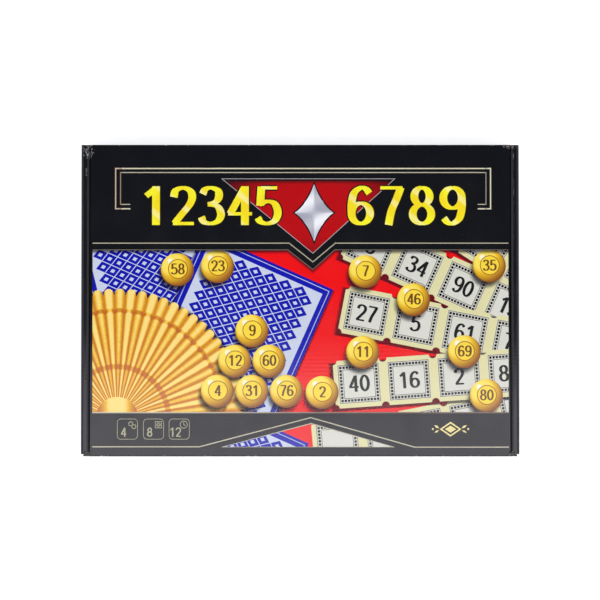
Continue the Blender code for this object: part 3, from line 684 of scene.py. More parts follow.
def laminate(finish, ink, scuffed=False):
    """Film-laminated print: mottled ink with places where wear bares the paper, hair scratches, the flutes'
    washboard and fine orange peel. Scuffed print also has crumpled places, whose pale lines are partly
    cracked print and partly painted glints, and the strips' crease, painted sheen in streaks, stronger on the
    left strip, and rough bends."""
    sizes, colours = settings()
    x, y, z = finish.axes()
    tears = finish.grain(1.3 * MM, 4, (1, 1.4, 1), 1.7, 0.62)
    torn, wear_and_glints = wear(finish, x, y, z, tears)
    mottle = finish.grain(0.9 * MM, 3) - 0.5
    cloudy = finish.grain(38 * MM, 2, shift=3.1) - 0.5
    red_and_blue = 1 + mottle * 0.10 + cloudy * 0.08
    green = 1 + mottle * 0.09 + cloudy * 0.07
    shade = finish.mixed(1.0, ink, finish.node("ShaderNodeCombineColor", None, {
        0: red_and_blue, 1: green, 2: red_and_blue}), "MULTIPLY")
    scratch = finish.grain(0.35 * MM, 2, (40, 1, 1), 5.5).rise(0.66, 0.80)
    scuff = finish.grain(22 * MM, 4, shift=12.5).rise(0.42, 0.72)
    rough = 0.115 + scuff * 0.05 + scratch * 0.08
    uneven = finish.grain(26 * MM, 2, (2.2, 1, 1), 31.0)
    bump = finish.relief(y.wave(sizes.flute_pitch) * (0.35 + uneven), sizes.flute_relief)
    bump = finish.relief(finish.grain(17 * MM, 2, (1.6, 1, 1), 40.0), 0.004 * MM, bump)
    bump = finish.relief(finish.grain(0.7 * MM, 2, shift=50.0), 0.0022 * MM, bump)
    bump = finish.relief(tears * torn, 0.5 * MM, bump)
    if scuffed:
        near, marks = scuffs(finish, x, y, z, tears)
        dashes = finish.grain(1.6 * MM, 2, (0.4, 5, 1), 71.0)
        crease = (1 - abs(x - STRIP_CREASE * MM).rise(0.15 * MM, 0.55 * MM)) * y.rise(40 * MM, 75 * MM)
        # The scuffs' pale lines, partly painted glints, join the wear here
        wear_and_glints = (wear_and_glints + marks * 0.6 + crease * dashes.rise(0.48, 0.75) * 0.42).least(1.0)
        across = abs(x)
        # Painted sheen: the side strips are lightened in long streaks, fully on the left strip and by less on
        # the right one
        streaks = finish.grain(1.1 * MM, 3, (1, 26, 1), 81.0, 0.6).rise(0.38, 0.68)
        strip = (across - STRIP_TOP * MM).rise(0.0, 0.4 * MM) * (1 - x.rise(-0.1, 0.1) * 0.6)
        shade = finish.mixed(strip * streaks * 0.8, shade, (0.008, 0.009, 0.013))
        bends = (across - INNER_BEND * MM).rise(0.0, 0.1 * MM)
        bends = bends * (STRIP_CREASE * MM - across).rise(0.0, 0.8 * MM)
        bends = bends.most((across - OUTER_BEND * MM).rise(0.0, 0.8 * MM))
        rough = rough + bends * (z - LID_HIGH.z).rise(-2.2 * MM, -1.4 * MM) * 0.30
        bump = finish.relief(finish.grain(4.0 * MM, 1, (1, 1.8, 1), 61.0) * near, 0.35 * MM, bump)
    return finish.mixed(wear_and_glints, shade, colours.paper_core), rough + wear_and_glints * 0.45, bump


def printed(name, make_ink=None):
    """The finish of an ink film on the lid: the ink that a function makes, or the point's own tint, under
    laminate."""
    finish = Finish(name)
    shade, rough, bump = laminate(finish, make_ink(finish) if make_ink else finish.attribute("tint"))
    finish.feed(Base_Color=shade, Roughness=rough, Normal=bump)
    return finish


def kraft_liner(finish, y):
    """Bare kraft paper: fibres along the sheet, clouds, dark flecks and the flutes' faint stripes."""
    sizes, colours = settings()
    fibre = finish.grain(0.5 * MM, 4, (7, 1, 1), 2.0, 0.65)
    cloud = finish.grain(14 * MM, 3, shift=8.0).rise(0.35, 0.7)
    fleck = finish.grain(0.9 * MM, 2, (2.5, 1, 1), 15.0).rise(0.70, 0.78)
    stripes = y.wave(sizes.flute_pitch)
    kraft = finish.mixed(fibre.rise(0.30, 0.72), shaded(colours.kraft, 0.72), shaded(colours.kraft, 1.16))
    for share, depth in ((cloud * 0.22, 0.62), (fleck * 0.55, 0.35), (stripes * 0.10, 0.55)):
        kraft = finish.mixed(share, kraft, shaded(colours.kraft, depth))
    return fibre, kraft


def board(name, faces, bend=0.0):
    """Fine-fluted board: black print in a thin layer under the given faces, a kraft liner on the far side,
    and cut edges that show two liners with the fluted sheet between them, and painted shade in the flutes'
    hollows. A face is an axis, the sign of its outward side and its place; x is taken as its distance from
    the middle. Where the sheet bends from one face into the next, the depth is the bend's radius less the
    distance from the bend's own middle."""
    sizes, colours = settings()
    finish = Finish(name)
    x, y, z = finish.axes()
    reading = {"x": abs(x), "y": y, "z": z, "yy": abs(y)}
    depths = [(place - reading[axis]) * sign for axis, sign, place in faces]
    depth = depths[0]
    for following in depths[1:]:
        if bend:
            reach = (bend - depth).most(0.0).hypotenuse((bend - following).most(0.0))
            depth = (depth.least(following) - bend).most(0.0) + bend - reach
        else:
            depth = depth.least(following)
    shade, rough, bump = laminate(finish, finish.flat(colours.black_ink), scuffed=True)
    fibre, kraft = kraft_liner(finish, y)
    crossing = y.wave(sizes.flute_pitch) * (0.8 * BOARD) + 0.1 * BOARD
    # Painted shade: the cut edge is darkened in the flutes' hollows, away from the wavy fluted sheet and the
    # two liners
    hollow_shade = abs(depth - crossing).rise(0.10 * MM, 0.24 * MM)
    liner = abs(depth - BOARD / 2).rise(BOARD / 2 - 0.30 * MM, BOARD / 2 - 0.16 * MM)
    edge = finish.mixed(hollow_shade * (1 - liner) * 0.75, kraft, shaded(colours.kraft, 0.16))
    inside = depth.rise(BOARD - 0.20 * MM, BOARD - 0.12 * MM)
    raw = depth.rise(0.20 * MM, 0.26 * MM)
    bare = finish.mixed(inside, edge, kraft)
    clad(finish, raw, (shade, rough, bump), (bare, fibre))
    return finish


def clad(finish, raw, film, paper):
    """Feeds a finish with laminated print, and by a share with matt paper, whose fibres are raised."""
    shade, rough, bump = film
    kraft, fibre = paper
    finish.feed(Base_Color=finish.mixed(raw, shade, kraft),
                Roughness=rough * (1 - raw) + (0.78 + fibre * 0.14) * raw,
                Normal=finish.relief(fibre * raw, 0.05 * MM, bump))


def clothe(node, finish):
    """Gives a CAD node a finish in place of its own."""
    target = NODES[node]
    target.data.materials.clear()
    target.data.materials.append(finish.material)


class BINGO_OT_board(Operator):
    """Finish the box's panels as printed, fine-fluted board"""

    bl_idname = "bingo_game.board"
    bl_label = "Board panels"

    def execute(self, context):
        flap_low, flap_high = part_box("front_flap")
        ear_low, ear_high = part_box("right_ear")
        finishes = {
            "floor_board": ([("z", -1, 0)], ["floor_panel"]),
            "side_board": ([("x", 1, WALL_HIGH.x), ("z", 1, WALL_HIGH.z), ("x", -1, WALL_LOW.x)],
                           ["left_side_wall", "right_side_wall"]),
            "front_board": ([("y", -1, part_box("front_wall")[0].y)], ["front_wall"]),
            "back_board": ([("y", 1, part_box("back_wall")[1].y)], ["back_wall"]),
            "front_tab_board": ([("x", 1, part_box("front_right_corner_tab")[1].x)],
                                ["front_left_corner_tab", "front_right_corner_tab"]),
            "back_tab_board": ([("x", 1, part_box("back_right_corner_tab")[1].x)],
                               ["back_left_corner_tab", "back_right_corner_tab"]),
            "lid_board": ([("z", 1, LID_HIGH.z), ("x", 1, LID_HIGH.x), ("yy", 1, LID_HIGH.y)], ["lid_panel"]),
            "dust_flap_board": ([("x", 1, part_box("right_dust_flap")[1].x)],
                                ["left_dust_flap", "right_dust_flap"]),
            "front_flap_board": ([("y", -1, flap_low.y), ("z", 1, flap_high.z), ("x", 1, flap_high.x)],
                                 ["front_flap"]),
            "ear_board": ([("x", 1, ear_high.x), ("y", -1, ear_low.y), ("z", 1, ear_high.z)],
                          ["left_ear", "right_ear"]),
        }
        for name, (faces, nodes) in finishes.items():
            finish = board(name, faces, BEND_RADIUS if name == "side_board" else 0.0)
            for node in nodes:
                clothe(node, finish)
        return {"FINISHED"}


class BINGO_OT_creases(Operator):
    """Close the two creases: along the lid's hinge and along the front flap's"""

    bl_idname = "bingo_game.creases"
    bl_label = "Creases"

    def execute(self, context):
        _, colours = settings()
        finish = Finish("crease_board")
        inside = 1 - finish.parts("tint")[0].rise(0.4, 0.6)
        fibre, kraft = kraft_liner(finish, finish.axes()[1])
        clad(finish, inside, laminate(finish, finish.flat(colours.black_ink)), (kraft, fibre))
        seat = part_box("back_wall")[1].z
        for name, side, turning in (("lid_crease", 1, ("base", "lid")),
                                    ("flap_crease", -1, ("front_flap", "lid"))):
            made = piece(name, self.wedge(side * LID_HIGH.y, seat), turning[0], finish)
            made.parent = None
            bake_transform(made)
        return {"FINISHED"}

    def wedge(self, outer, seat):
        """The folded sheet in the gap between a wall's top and the lid: a four-cornered section that narrows
        from the board's thickness on the wall to a thin edge at the lid, carried along the lid. Its inner
        corner ripples by a cosine at the flutes' pitch. Each corner has a depth, a height and a tint."""
        steps, thin_edge, ripple_depth = 421, 0.08 * MM, 0.06 * MM
        inward = -math.copysign(1, outer)
        x = np.linspace(LID_LOW.x, LID_HIGH.x, steps)
        ripple = ripple_depth * (0.5 - 0.5 * np.cos(x * 2 * np.pi / settings()[0].flute_pitch))
        section = [(BOARD, seat, 0.0), (0.0, seat, 1.0), (0.0, LID_LOW.z, 1.0), (thin_edge, LID_LOW.z, 0.0)]
        points = np.stack([np.column_stack([x, outer + inward * (depth - ripple * (depth == BOARD)),
                                            np.full(len(x), height)]) for depth, height, _ in section])
        tint = np.repeat([ink for _, _, ink in section], len(x))[:, None] * np.ones(3)
        ends = np.arange(4)[None] * len(x)
        faces = grid_faces(4, len(x), round_rows=True)
        groups = [faces, ends[:, ::-1], ends + len(x) - 1]
        if outer < 0:
            groups = [group[:, ::-1] for group in groups]
        return facets(points.reshape(-1, 3), *groups, tint=tint)


# The lid's print

# Millimetres from the lid's middle, +X to the right, +Y to the hinge. The print sits a little to the right.
LID_SPAN = (-165.7, 166.3)
PICTURE = (-89.3, 40.2)
OUTER_FRAME = [(-135.6, 73.2), (-147.4, 73.2), (-147.4, 105.4), (152.15, 105.4), (152.15, 73.2),
               (141.9, 73.2)]
INNER_FRAME = [(-135.6, 76.7), (-143.5, 76.7), (-143.5, 102.2), (148.5, 102.2), (148.5, 76.7), (141.9, 76.7)]
UPPER_CHEVRON = [(-165.7, 45.7), (-8.7, 45.7), (10.2, 30.7), (28.1, 45.7), (166.3, 45.7)]
LOWER_CHEVRON = [(-165.7, 40.4), (-9.9, 40.4), (10.2, 24.7), (27.6, 40.4), (166.3, 40.4)]
TRIANGLE = [(-62.5, 97.2), (10.2, 37.6), (75.6, 97.2)]
LOWER_EDGE = [(-165.7, -89.5), (166.3, -89.5)]
LOWER_BORDER = [(-165.7, -116.7), (-80.2, -116.7), (8.5, -93.5), (91.2, -117.0), (166.3, -117.0)]
WINDOW = [(-62.2, -116.9), (74.7, -116.9), (8.6, -98.15)]
SIGN_LEFT = (-137.7, -116.9, -96.4)
SIGN_MIDDLE = -102.65
EMBLEM_MIDDLE = (119.9, -102.7)
TITLE_LEFT = (-127.5, -14.0)
TITLE_RIGHT = (36.3, 134.0)
TITLE_BASE = 60.2
STAR_MIDDLE = (11.2, 70.0)

# The order of the lid's ink films, from the lid up. Each lattice panel and each strip of tickets takes four.
GROUND_FILM, OUTLINE_FILM, HALO_FILM, NUMERAL_FILM, RING_FILM, STAR_FILM = range(1, 7)
LATTICE_FILM, STRIP_FILM, FILMS_EACH = 2, 10, 4
FAN_SHADOW_FILM, FAN_FILM, HUB_FILM = 11, 12, 13
BALL_SHADOW_FILM, BALL_FILM, SPOT_FILM, SPOT_PRINT_FILM = 30, 31, 32, 33
BROW_FILM, TONGUE_FILM, LINE_FILM, TIP_FILM = 35, 36, 37, 38


def mm(points):
    """Millimetres as metres."""
    return np.asarray(points, float) * MM


def films(layers, base=LID_HIGH.z):
    """Flat shapes as ink films over a surface, the lid's top if none is given. Each comes with its place in
    the order of the films, and empty ones are left out."""
    sizes, _ = settings()
    return joined([solid(shape).lifted(base + level * sizes.film_step, sizes.film_thickness)
                   for shape, level in layers if len(shape.sizes)])


def lid_print(name, layers, ink, make_ink=None):
    """One piece of the lid's print."""
    piece(name, films(layers), "lid", printed(ink, make_ink))


def border_beads(width, height, pitch):
    """Places of beads along a rectangle's sides, about a pitch apart, with one in each corner."""
    x = np.linspace(-width / 2, width / 2, round(width / pitch) + 1)
    y = np.linspace(-height / 2, height / 2, round(height / pitch) + 1)[1:-1]
    return np.concatenate([np.column_stack([x, np.full(len(x), side * height / 2)]) for side in (-1, 1)]
                          + [np.column_stack([np.full(len(y), side * width / 2), y]) for side in (-1, 1)])


def star_outline(width, height, waist, sides):
    """A four-pointed star, its sizes in millimetres: the cosine and sine cubed, drawn to its half width and
    height and evened by the fifth root of their sum, and a waist added all round."""
    angle = full_turn(sides)
    cosine, sine = np.cos(angle), np.sin(angle)
    reach = (np.abs(cosine) ** 3 + np.abs(sine) ** 3)[:, None] ** 0.2
    star = np.column_stack([width * cosine ** 3, height * sine ** 3]) / reach
    return mm(star + waist * np.column_stack([cosine, sine]))


class BINGO_OT_lines(Operator):
    """Print the frame round the title, the chevrons and the lines round the picture"""

    bl_idname = "bingo_game.lines"
    bl_label = "Frame lines"

    def execute(self, context):
        sizes, colours = settings()
        lines = [(OUTER_FRAME, sizes.outer_line, 1.12), (INNER_FRAME, sizes.inner_line, 0.76),
                 (UPPER_CHEVRON, sizes.inner_line, 0.72), (LOWER_BORDER, sizes.border_line, 0.80),
                 (LOWER_CHEVRON, sizes.hair_line, 0.24), (LOWER_EDGE, sizes.border_line, 0.92),
                 (WINDOW, sizes.inner_line, 0.85)]
        tongue = filled(mm(LOWER_CHEVRON[1:4]), middle=mm((10.5, 36.0))).inked(colours.black_ink)

        def worn_gold(finish):
            """The tint, brighter and duller in turn along the lines, as a gold gradient is printed: coppery
            at the frame's left end, grey at its inner right end, and browner to the right along the
            picture."""
            x, y, _ = finish.axes()
            frame_end = y.rise(70 * MM, 73 * MM)
            left_end = (x * -1).rise(142.0 * MM, 143.4 * MM) * frame_end
            inner_left, inner_right = ((1 - abs(x - place * MM).rise(0.7 * MM, 1.2 * MM)) * frame_end
                                       for place in (INNER_FRAME[1][0], INNER_FRAME[3][0]))
            foot = 1 - abs(y - LOWER_EDGE[0][1] * MM).rise(0.7 * MM, 0.9 * MM)
            tint = finish.attribute("tint")
            for share, shade in ((x.wave(118 * MM) * 0.20, (0.30, 0.24, 0.16)),
                                 (left_end * 0.55, (0.46, 0.26, 0.18)),
                                 (inner_left * 0.38, (0.12, 0.05, 0.035)),
                                 (inner_right * 0.55, (0.14, 0.12, 0.12)),
                                 (foot * x.rise(-130 * MM, 60 * MM) * 0.85, (0.17, 0.075, 0.06))):
                tint = finish.mixed(share, tint, shade)
            return tint

        gold = [ribbon(mm(path), width, closed=path is WINDOW).inked(shaded(colours.line_ink, share))
                for path, width, share in lines]
        lid_print("frame_lines", [(shape, LINE_FILM) for shape in gold], "line_ink", worn_gold)
        lid_print("chevron_ground", [(tongue, TONGUE_FILM)], "chevron_ink")
        return {"FINISHED"}


class BINGO_OT_title(Operator):
    """Print the numerals, the red triangle and the silver star in the title's place"""

    bl_idname = "bingo_game.title"
    bl_label = "Title numerals"

    def execute(self, context):
        sizes, colours = settings()
        height = sizes.numeral_height

        def red_glow(finish):
            """Red that fades to black at the upper edge and towards the two upper corners."""
            x, y, _ = finish.axes()
            top = (TRIANGLE[0][1] * MM - y).rise(0.5 * MM, 5 * MM)
            dx = (x - 9 * MM) * (1 / (76 * MM))
            dy = (y - 74 * MM) * (1 / (50 * MM))
            glow = 1 - (dx * dx + dy * dy).rise(0.10, 1.0)
            deep = finish.mixed(glow, (0.085, 0.001, 0.003), (0.49, 0.001, 0.003))
            return finish.mixed(top, colours.black_ink, deep)

        def yellow(finish):
            """Yellow that runs from pale at the numerals' tops and feet to gold at their waists, with slant
            streaks."""
            x, y, _ = finish.axes()
            rise = (y - TITLE_BASE * MM) * (1 / height)
            waist = (rise.wave(1.0) * 0.5 + x.wave(17 * MM) * 0.5).rise(0.15, 0.95)
            shine = (x * 0.8 + y).wave(23 * MM).rise(0.72, 1.0)
            gold = finish.mixed(waist, (0.95, 0.74, 0.014), colours.title_ink)
            return finish.mixed(shine * 0.55, gold, (1.0, 0.93, 0.42))

        def silver(finish):
            """Silver that turns from pale to slate across each arm, as a bevelled ornament is drawn."""
            across = finish.parts("place")
            lit = (across[0] * across[1]).rise(-0.03, 0.03)
            x, y, _ = finish.axes()
            sheen = (y - x * 0.4).wave(19 * MM)
            pale = finish.mixed(sheen, colours.silver_ink, (0.93, 0.93, 0.95))
            return finish.mixed(lit * 0.55, pale, (0.20, 0.20, 0.27))

        grid = self.triangle_grid(24)
        tip = mm([(-10, 30), (30, 30), (30, 41.5), (-10, 41.5)])
        outline = ribbon(mm(TRIANGLE), sizes.hair_line, closed=True).inked((0.42, 0.40, 0.40))
        lid_print("title_triangle", [(grid, GROUND_FILM), (clipped(grid, tip), LINE_FILM)],
                  "triangle_ink", red_glow)
        lid_print("triangle_outline", [(outline, OUTLINE_FILM), (clipped(outline, tip), TIP_FILM)],
                  "outline_ink")

        for name, ink, level, digits, make_ink in (
                ("title_numeral_halo", "halo_ink", HALO_FILM, numerals(0.255, 0.150, 5), None),
                ("title_numerals", "numeral_ink", NUMERAL_FILM, numerals(0.190, 0.085, 6), yellow)):
            # The near-black tint shows on the halo alone, because the numerals have an ink of their own
            shapes = []
            for text, (low, high) in (("12345", TITLE_LEFT), ("6789", TITLE_RIGHT)):
                step = (high - low) / len(text)
                shapes += [number(digits, digit, height).inked((0.006, 0.004, 0.004)).at(
                    ((low + (i + 0.5) * step) * MM, TITLE_BASE * MM + height / 2), scale=(1.06, 1))
                    for i, digit in enumerate(text)]
            lid_print(name, [(shape, level) for shape in shapes], ink, make_ink)

        # The star's tips reach over the ring
        star = star_outline(13.2, 20.5, 2.2, 64)
        outer, inner = mm(circle(9.6, 64, 13.2)), mm(circle(7.4, 64, 11.0))
        middle = mm(STAR_MIDDLE)
        dark = [(shape.at(middle).inked((0.03, 0.004, 0.006)), level) for shape, level in (
            (between(outer * 1.08, inner * 0.9), HALO_FILM), (filled(star * 1.12, 3), NUMERAL_FILM))]
        lid_print("title_star_halo", dark, "star_halo_ink")
        lid_print("title_star", [(ring_shape(outer, inner).at(middle), RING_FILM),
                                 (filled(star, 4).at(middle), STAR_FILM)], "silver_ink", silver)
        return {"FINISHED"}

    def triangle_grid(self, rows):
        """The triangle as rows of points from its upper edge down, and a fan at its tip."""
        left, tip, right = mm(TRIANGLE)
        share = np.linspace(0, 1, rows)[:-1, None, None]
        across = np.linspace(0, 1, rows)[None, :, None]
        points = left + (tip - left) * share + (right - left) * (1 - share) * across
        last_row = np.arange(rows - 1) + (rows - 2) * rows
        fan = np.stack([last_row, np.full(rows - 1, (rows - 1) * rows), last_row + 1], -1)
        return facets(np.concatenate([points.reshape(-1, 2), [tip]]), grid_faces(rows - 1, rows), fan)


def ring_shape(outer, inner):
    """A ring whose place runs round it, so that its shading turns with it."""
    shape = between(outer, inner)
    angle = np.tile(full_turn(len(outer)), 2)
    shape.place = np.column_stack([np.cos(angle), np.sin(angle)]) * 0.5
    return shape


# The picture is a generic design: lattice panels, a pleated fan, strips of tickets and numbered balls. Each
# lattice panel and each strip is given by its middle in millimetres and its turn in degrees.
LATTICES = [((-122.0, 20.0), 14.0, (96.0, 78.0)), ((-52.0, -30.0), -24.0, (112.0, 134.0))]
STRIPS = [((118.0, -100.0), 11.0, ("3", "47", "20", "9")), ((134.0, 56.0), -33.0, ("6", "52", "19", "44")),
          ((112.0, 19.0), -24.0, ("8", "34", "90", "15")), ((112.0, -22.0), -11.0, ("27", "5", "61", "73")),
          ((107.0, -62.0), 4.0, ("40", "16", "2", "88"))]
FAN_MIDDLE = (-146.0, -94.0)
FAN_REACH = 98.0
RACK = [(-66.0, -72.5, "4"), (-38.5, -72.5, "31"), (-11.0, -72.5, "76"), (-52.2, -48.5, "12"),
        (-24.8, -48.5, "60"), (-38.5, -24.5, "9")]
STRAY = [(-98.0, 24.5, "58"), (-66.0, 27.0, "23"), (52.0, 23.0, "7"), (90.5, 0.5, "46"), (151.0, 27.5, "35"),
         (131.0, -41.0, "69"), (50.0, -41.5, "11"), (148.5, -76.0, "80"), (17.5, -73.5, "2")]


def lattice(width, height):
    """A blue panel with a pale field, and on it a harlequin of blue lozenges, each with an open middle."""
    _, colours = settings()
    ground = filled(rectangle(width, height)).inked(colours.blue_ink)
    hair_line = ribbon(rectangle(width - 5 * MM, height - 5 * MM), 0.5 * MM, closed=True)
    field = filled(rectangle(width - 13 * MM, height - 13 * MM))
    pale = joined([hair_line, field]).inked(colours.white_ink)
    step = mm((13.0, 10.0))
    columns, rows = ((np.array((width, height)) - 12 * MM) / step).astype(int)
    across, up = np.meshgrid(np.arange(-columns, columns + 1), np.arange(-rows, rows + 1), indexing="ij")
    stagger = (across + up) % 2 == 0
    centres = np.column_stack([across[stagger], up[stagger]]) * step / 2
    inside = (np.abs(centres) < [width / 2 - 10.5 * MM, height / 2 - 9 * MM]).all(1)
    lozenge = between(LOZENGE * step * 0.46, LOZENGE * step * 0.17)
    return ground, pale, repeated(lozenge, centres[inside]).inked(colours.blue_ink)


def ticket_middles(count):
    """The middles of a strip's tickets."""
    sizes, _ = settings()
    return np.column_stack([(np.arange(count) - (count - 1) / 2) * sizes.ticket_width, np.zeros(count)])


def ticket_strip(count):
    """A strip of tickets: rims, faces, and the lines and beads round each face."""
    sizes, colours = settings()
    width, height = sizes.ticket_width, sizes.ticket_height
    rim = filled(notched(width, height, 3.2 * MM)).inked(colours.straw_ink)
    face = filled(rectangle(width - 7.2 * MM, height - 7.2 * MM)).inked(colours.cream_ink)
    lines = [ribbon(rectangle(width - inset * MM, height - inset * MM), 0.42 * MM, closed=True)
             for inset in (8.0, 15.2)]
    beads = border_beads(width - 11.6 * MM, height - 11.6 * MM, 2.6 * MM)
    bead = filled(rectangle(1.95 * MM, 1.95 * MM))
    marks = joined([*lines, repeated(bead, beads)]).inked(colours.type_ink)
    return [repeated(shape, ticket_middles(count)) for shape in (rim, face, marks)]


def pleated_fan(reach, rays, low, high, steps=14, columns=7):
    """An open fan: each pleat a polar grid whose outer edge bulges as half a circle. Its place is the share
    of the reach, and -1 to 1 across the pleat, and its tint is 1 and 0 in turn."""
    share = np.linspace(0.10, 1, steps)[:, None]
    across = np.linspace(-1, 1, columns)[None, :]
    turn = math.radians(high - low) / rays
    angle = math.radians(low) + (np.arange(rays)[:, None, None] + 0.5 + across / 2) * turn
    radius = share * reach * (1 + 0.055 * np.sqrt(1 - across ** 2) * share ** 6)
    points = np.stack([radius * np.cos(angle), radius * np.sin(angle)], -1)
    place = np.broadcast_to(np.stack(np.broadcast_arrays(share, across), -1), points.shape)
    tint = np.repeat(1.0 - np.arange(rays) % 2, steps * columns)[:, None] * np.ones(3)
    faces = grid_faces(steps, columns)[None] + (np.arange(rays) * steps * columns)[:, None, None]
    return facets(points.reshape(-1, 2), faces.reshape(-1, 4), tint=tint, place=place.reshape(-1, 2))


class BINGO_OT_picture(Operator):
    """Print the picture's generic design: red ground, lattice panels, fan, tickets and numbered balls"""

    bl_idname = "bingo_game.picture"
    bl_label = "Picture"

    def execute(self, context):
        sizes, colours = settings()
        (left, right), (low, high) = LID_SPAN, PICTURE
        band, window = mm([(left, low), (right, low), (right, high), (left, high)]), mm(WINDOW)
        digits = numerals(0.185, 0.105, 3)

        def laid(shapes, middle, turn, level, edge=band):
            """Shapes at a place on the picture, each a film over the last, and cut off along an edge."""
            return [(clipped(shape.at(mm(middle), turn), edge), level + step)
                    for step, shape in enumerate(shapes)]

        flat = [(filled(edge, middle=edge.mean(0)).inked(colours.red_ink), GROUND_FILM)
                for edge in (band, window)]
        shadows, glyphs = [], []
        for order, (middle, turn, span) in enumerate(LATTICES):
            level = LATTICE_FILM + FILMS_EACH * order
            shadow = soft_edged(rectangle(*mm(span)), 3.5 * MM, 0.55)
            shadows += laid([shadow], np.add(middle, (-1, -2)), turn, level)
            flat += laid(lattice(*mm(span)), middle, turn, level + 1)
        for order, (middle, turn, texts) in enumerate(STRIPS):
            level = STRIP_FILM + FILMS_EACH * order
            outline = rectangle(len(texts) * sizes.ticket_width, sizes.ticket_height)
            shadows += laid([soft_edged(outline, 3.0 * MM, 0.6)], np.add(middle, (-1.2, -2)), turn, level)
            flat += laid(ticket_strip(len(texts)), middle, turn, level + 1)
            numbers = [number(digits, text, 13.0 * MM, 1.08).at(centre).inked(colours.type_ink)
                       for text, centre in zip(texts, ticket_middles(len(texts)))]
            for shape in numbers:
                glyphs += laid([shape], middle, turn, level + 3)
        flat += laid(lattice(70 * MM, 44 * MM), (-34, -120), -24, LATTICE_FILM + 1, window)
        flat += laid(ticket_strip(2), (50, -112), 5, LATTICE_FILM + 1, window)

        lid_print("picture_print", flat, "picture_ink")
        lid_print("ticket_numbers", glyphs, "number_ink")
        self.fan(band, shadows)
        self.balls(band, digits, shadows)
        brow = ribbon(mm(LOWER_CHEVRON) + mm((0, -1.9)), 4.2 * MM).inked((0.75, 0, 0))
        brow.place = np.column_stack([0.8 - 0.2 * brow.place[:, 1], 0 * brow.place[:, 1]])
        self.shadows([*shadows, (clipped(brow, band), BROW_FILM)])
        return {"FINISHED"}

    def fan(self, band, shadows):
        """The pleated fan in the lower left corner, with its painted shadow."""
        _, colours = settings()
        reach = FAN_REACH * MM
        fan = pleated_fan(reach, 36, -12, 174)
        hub = filled(circle(17 * MM, 36), 3)
        hub.place = np.column_stack([0.1 + 0.25 * np.linalg.norm(hub.place, axis=1), hub.place[:, 0]])
        shadow = soft_edged(circle(reach * 1.03, 60), 4 * MM, 0.7).at(mm(FAN_MIDDLE) + mm((2, -2)))
        shadows.append((clipped(shadow, band), FAN_SHADOW_FILM))

        def pleats(finish):
            """Gold on each pleat's ridge and amber in its valley, with two darker bands round the fan."""
            share, across, _ = finish.parts("place")
            even = finish.parts("tint")[0]
            ridge = (1 - abs(across)).rise(0.0, 0.85)
            grain = finish.grain(2.2 * MM, 3, shift=3.0)
            ring = (1 - abs(share - 0.42).rise(0.012, 0.03)) + (1 - abs(share - 0.86).rise(0.008, 0.02))
            lit = (ridge * (0.55 + 0.35 * even) + share * 0.28 + grain * 0.22 - ring * 0.45).rise(0.12, 1.05)
            warm = finish.mixed(lit, colours.amber_ink, colours.gold_ink)
            return finish.mixed((lit - 0.72).rise(0.0, 0.3) * 0.5, warm, (1.0, 0.86, 0.42))

        lid_print("picture_fan", [(clipped(shape.at(mm(FAN_MIDDLE)), band), level)
                                  for shape, level in ((fan, FAN_FILM), (hub, HUB_FILM))], "fan_ink", pleats)

    def balls(self, band, digits, shadows):
        """The numbered balls: a racked pile and strays, each a disc painted as a sphere with a paler spot."""
        sizes, colours = settings()
        radius = sizes.ball_radius
        places = mm([(x, y) for x, y, _ in RACK + STRAY])
        shadow = filled(circle(radius * 1.14, 28), 4).inked((0.80, 0, 0))
        shadows.append((clipped(repeated(shadow, places + mm((-2.2, -4.0))), band), BALL_SHADOW_FILM))

        def sphere(finish):
            """A sphere's light by its place on the disc: height is the root of 1 less the radius squared."""
            u, v, _ = finish.parts("place")
            out = u * u + v * v
            up = (1 - out).most(0.0) ** 0.5
            light = (u * -0.42 + v * 0.50 + up * 0.75).rise(-0.35, 1.0)
            warm = finish.mixed(light, (0.30, 0.09, 0.012), colours.gold_ink)
            pale = finish.mixed((light - 0.72).rise(0, 0.28) * 0.8, warm, (1.0, 0.82, 0.14))
            rim = out.rise(0.80, 0.90) * (v * -1 + u * 0.4).rise(-0.9, 0.6)
            aside, above = u + 0.42, v - 0.52
            gleam = 1 - (aside * aside + above * above).rise(0.006, 0.05)
            pale = finish.mixed(rim * 0.75, pale, (0.22, 0.07, 0.01))
            return finish.mixed(gleam * 0.8, pale, (1.0, 0.97, 0.80))

        disc = filled(circle(radius, 40), 8)
        lid_print("picture_balls", [(repeated(disc, places), BALL_FILM)], "ball_ink", sphere)
        centres = places + mm((0.4, 0.6))
        ring = between(circle(radius * 0.60, 32), circle(radius * 0.55, 32)).inked((0.36, 0.12, 0.012))
        spot = filled(circle(radius * 0.56, 32)).inked((0.97, 0.70, 0.05))
        texts = [number(digits, text, 8.6 * MM, 1.05).at(centre).inked((0.16, 0.055, 0.012))
                 for centre, (_, _, text) in zip(centres, RACK + STRAY)]
        printed_spots = [(shape, SPOT_PRINT_FILM) for shape in (repeated(ring, centres), *texts)]
        lid_print("ball_numbers", [(repeated(spot, centres), SPOT_FILM), *printed_spots], "ball_number_ink")

    def shadows(self, layers):
        """The soft shadows that are printed under the tickets, the fan and the balls."""
        finish = Finish("shadow_ink")
        shade, rough, bump = laminate(finish, finish.flat((0.012, 0.006, 0.02)))
        u, v, _ = finish.parts("place")
        strength = finish.parts("tint")[0]
        finish.feed(Base_Color=shade, Roughness=rough, Normal=bump,
                    Alpha=(1 - u.hypotenuse(v).rise(SHADOW_CORE, 1.0)) * strength * 0.62)
        piece("picture_shadows", films(layers), "lid", finish)


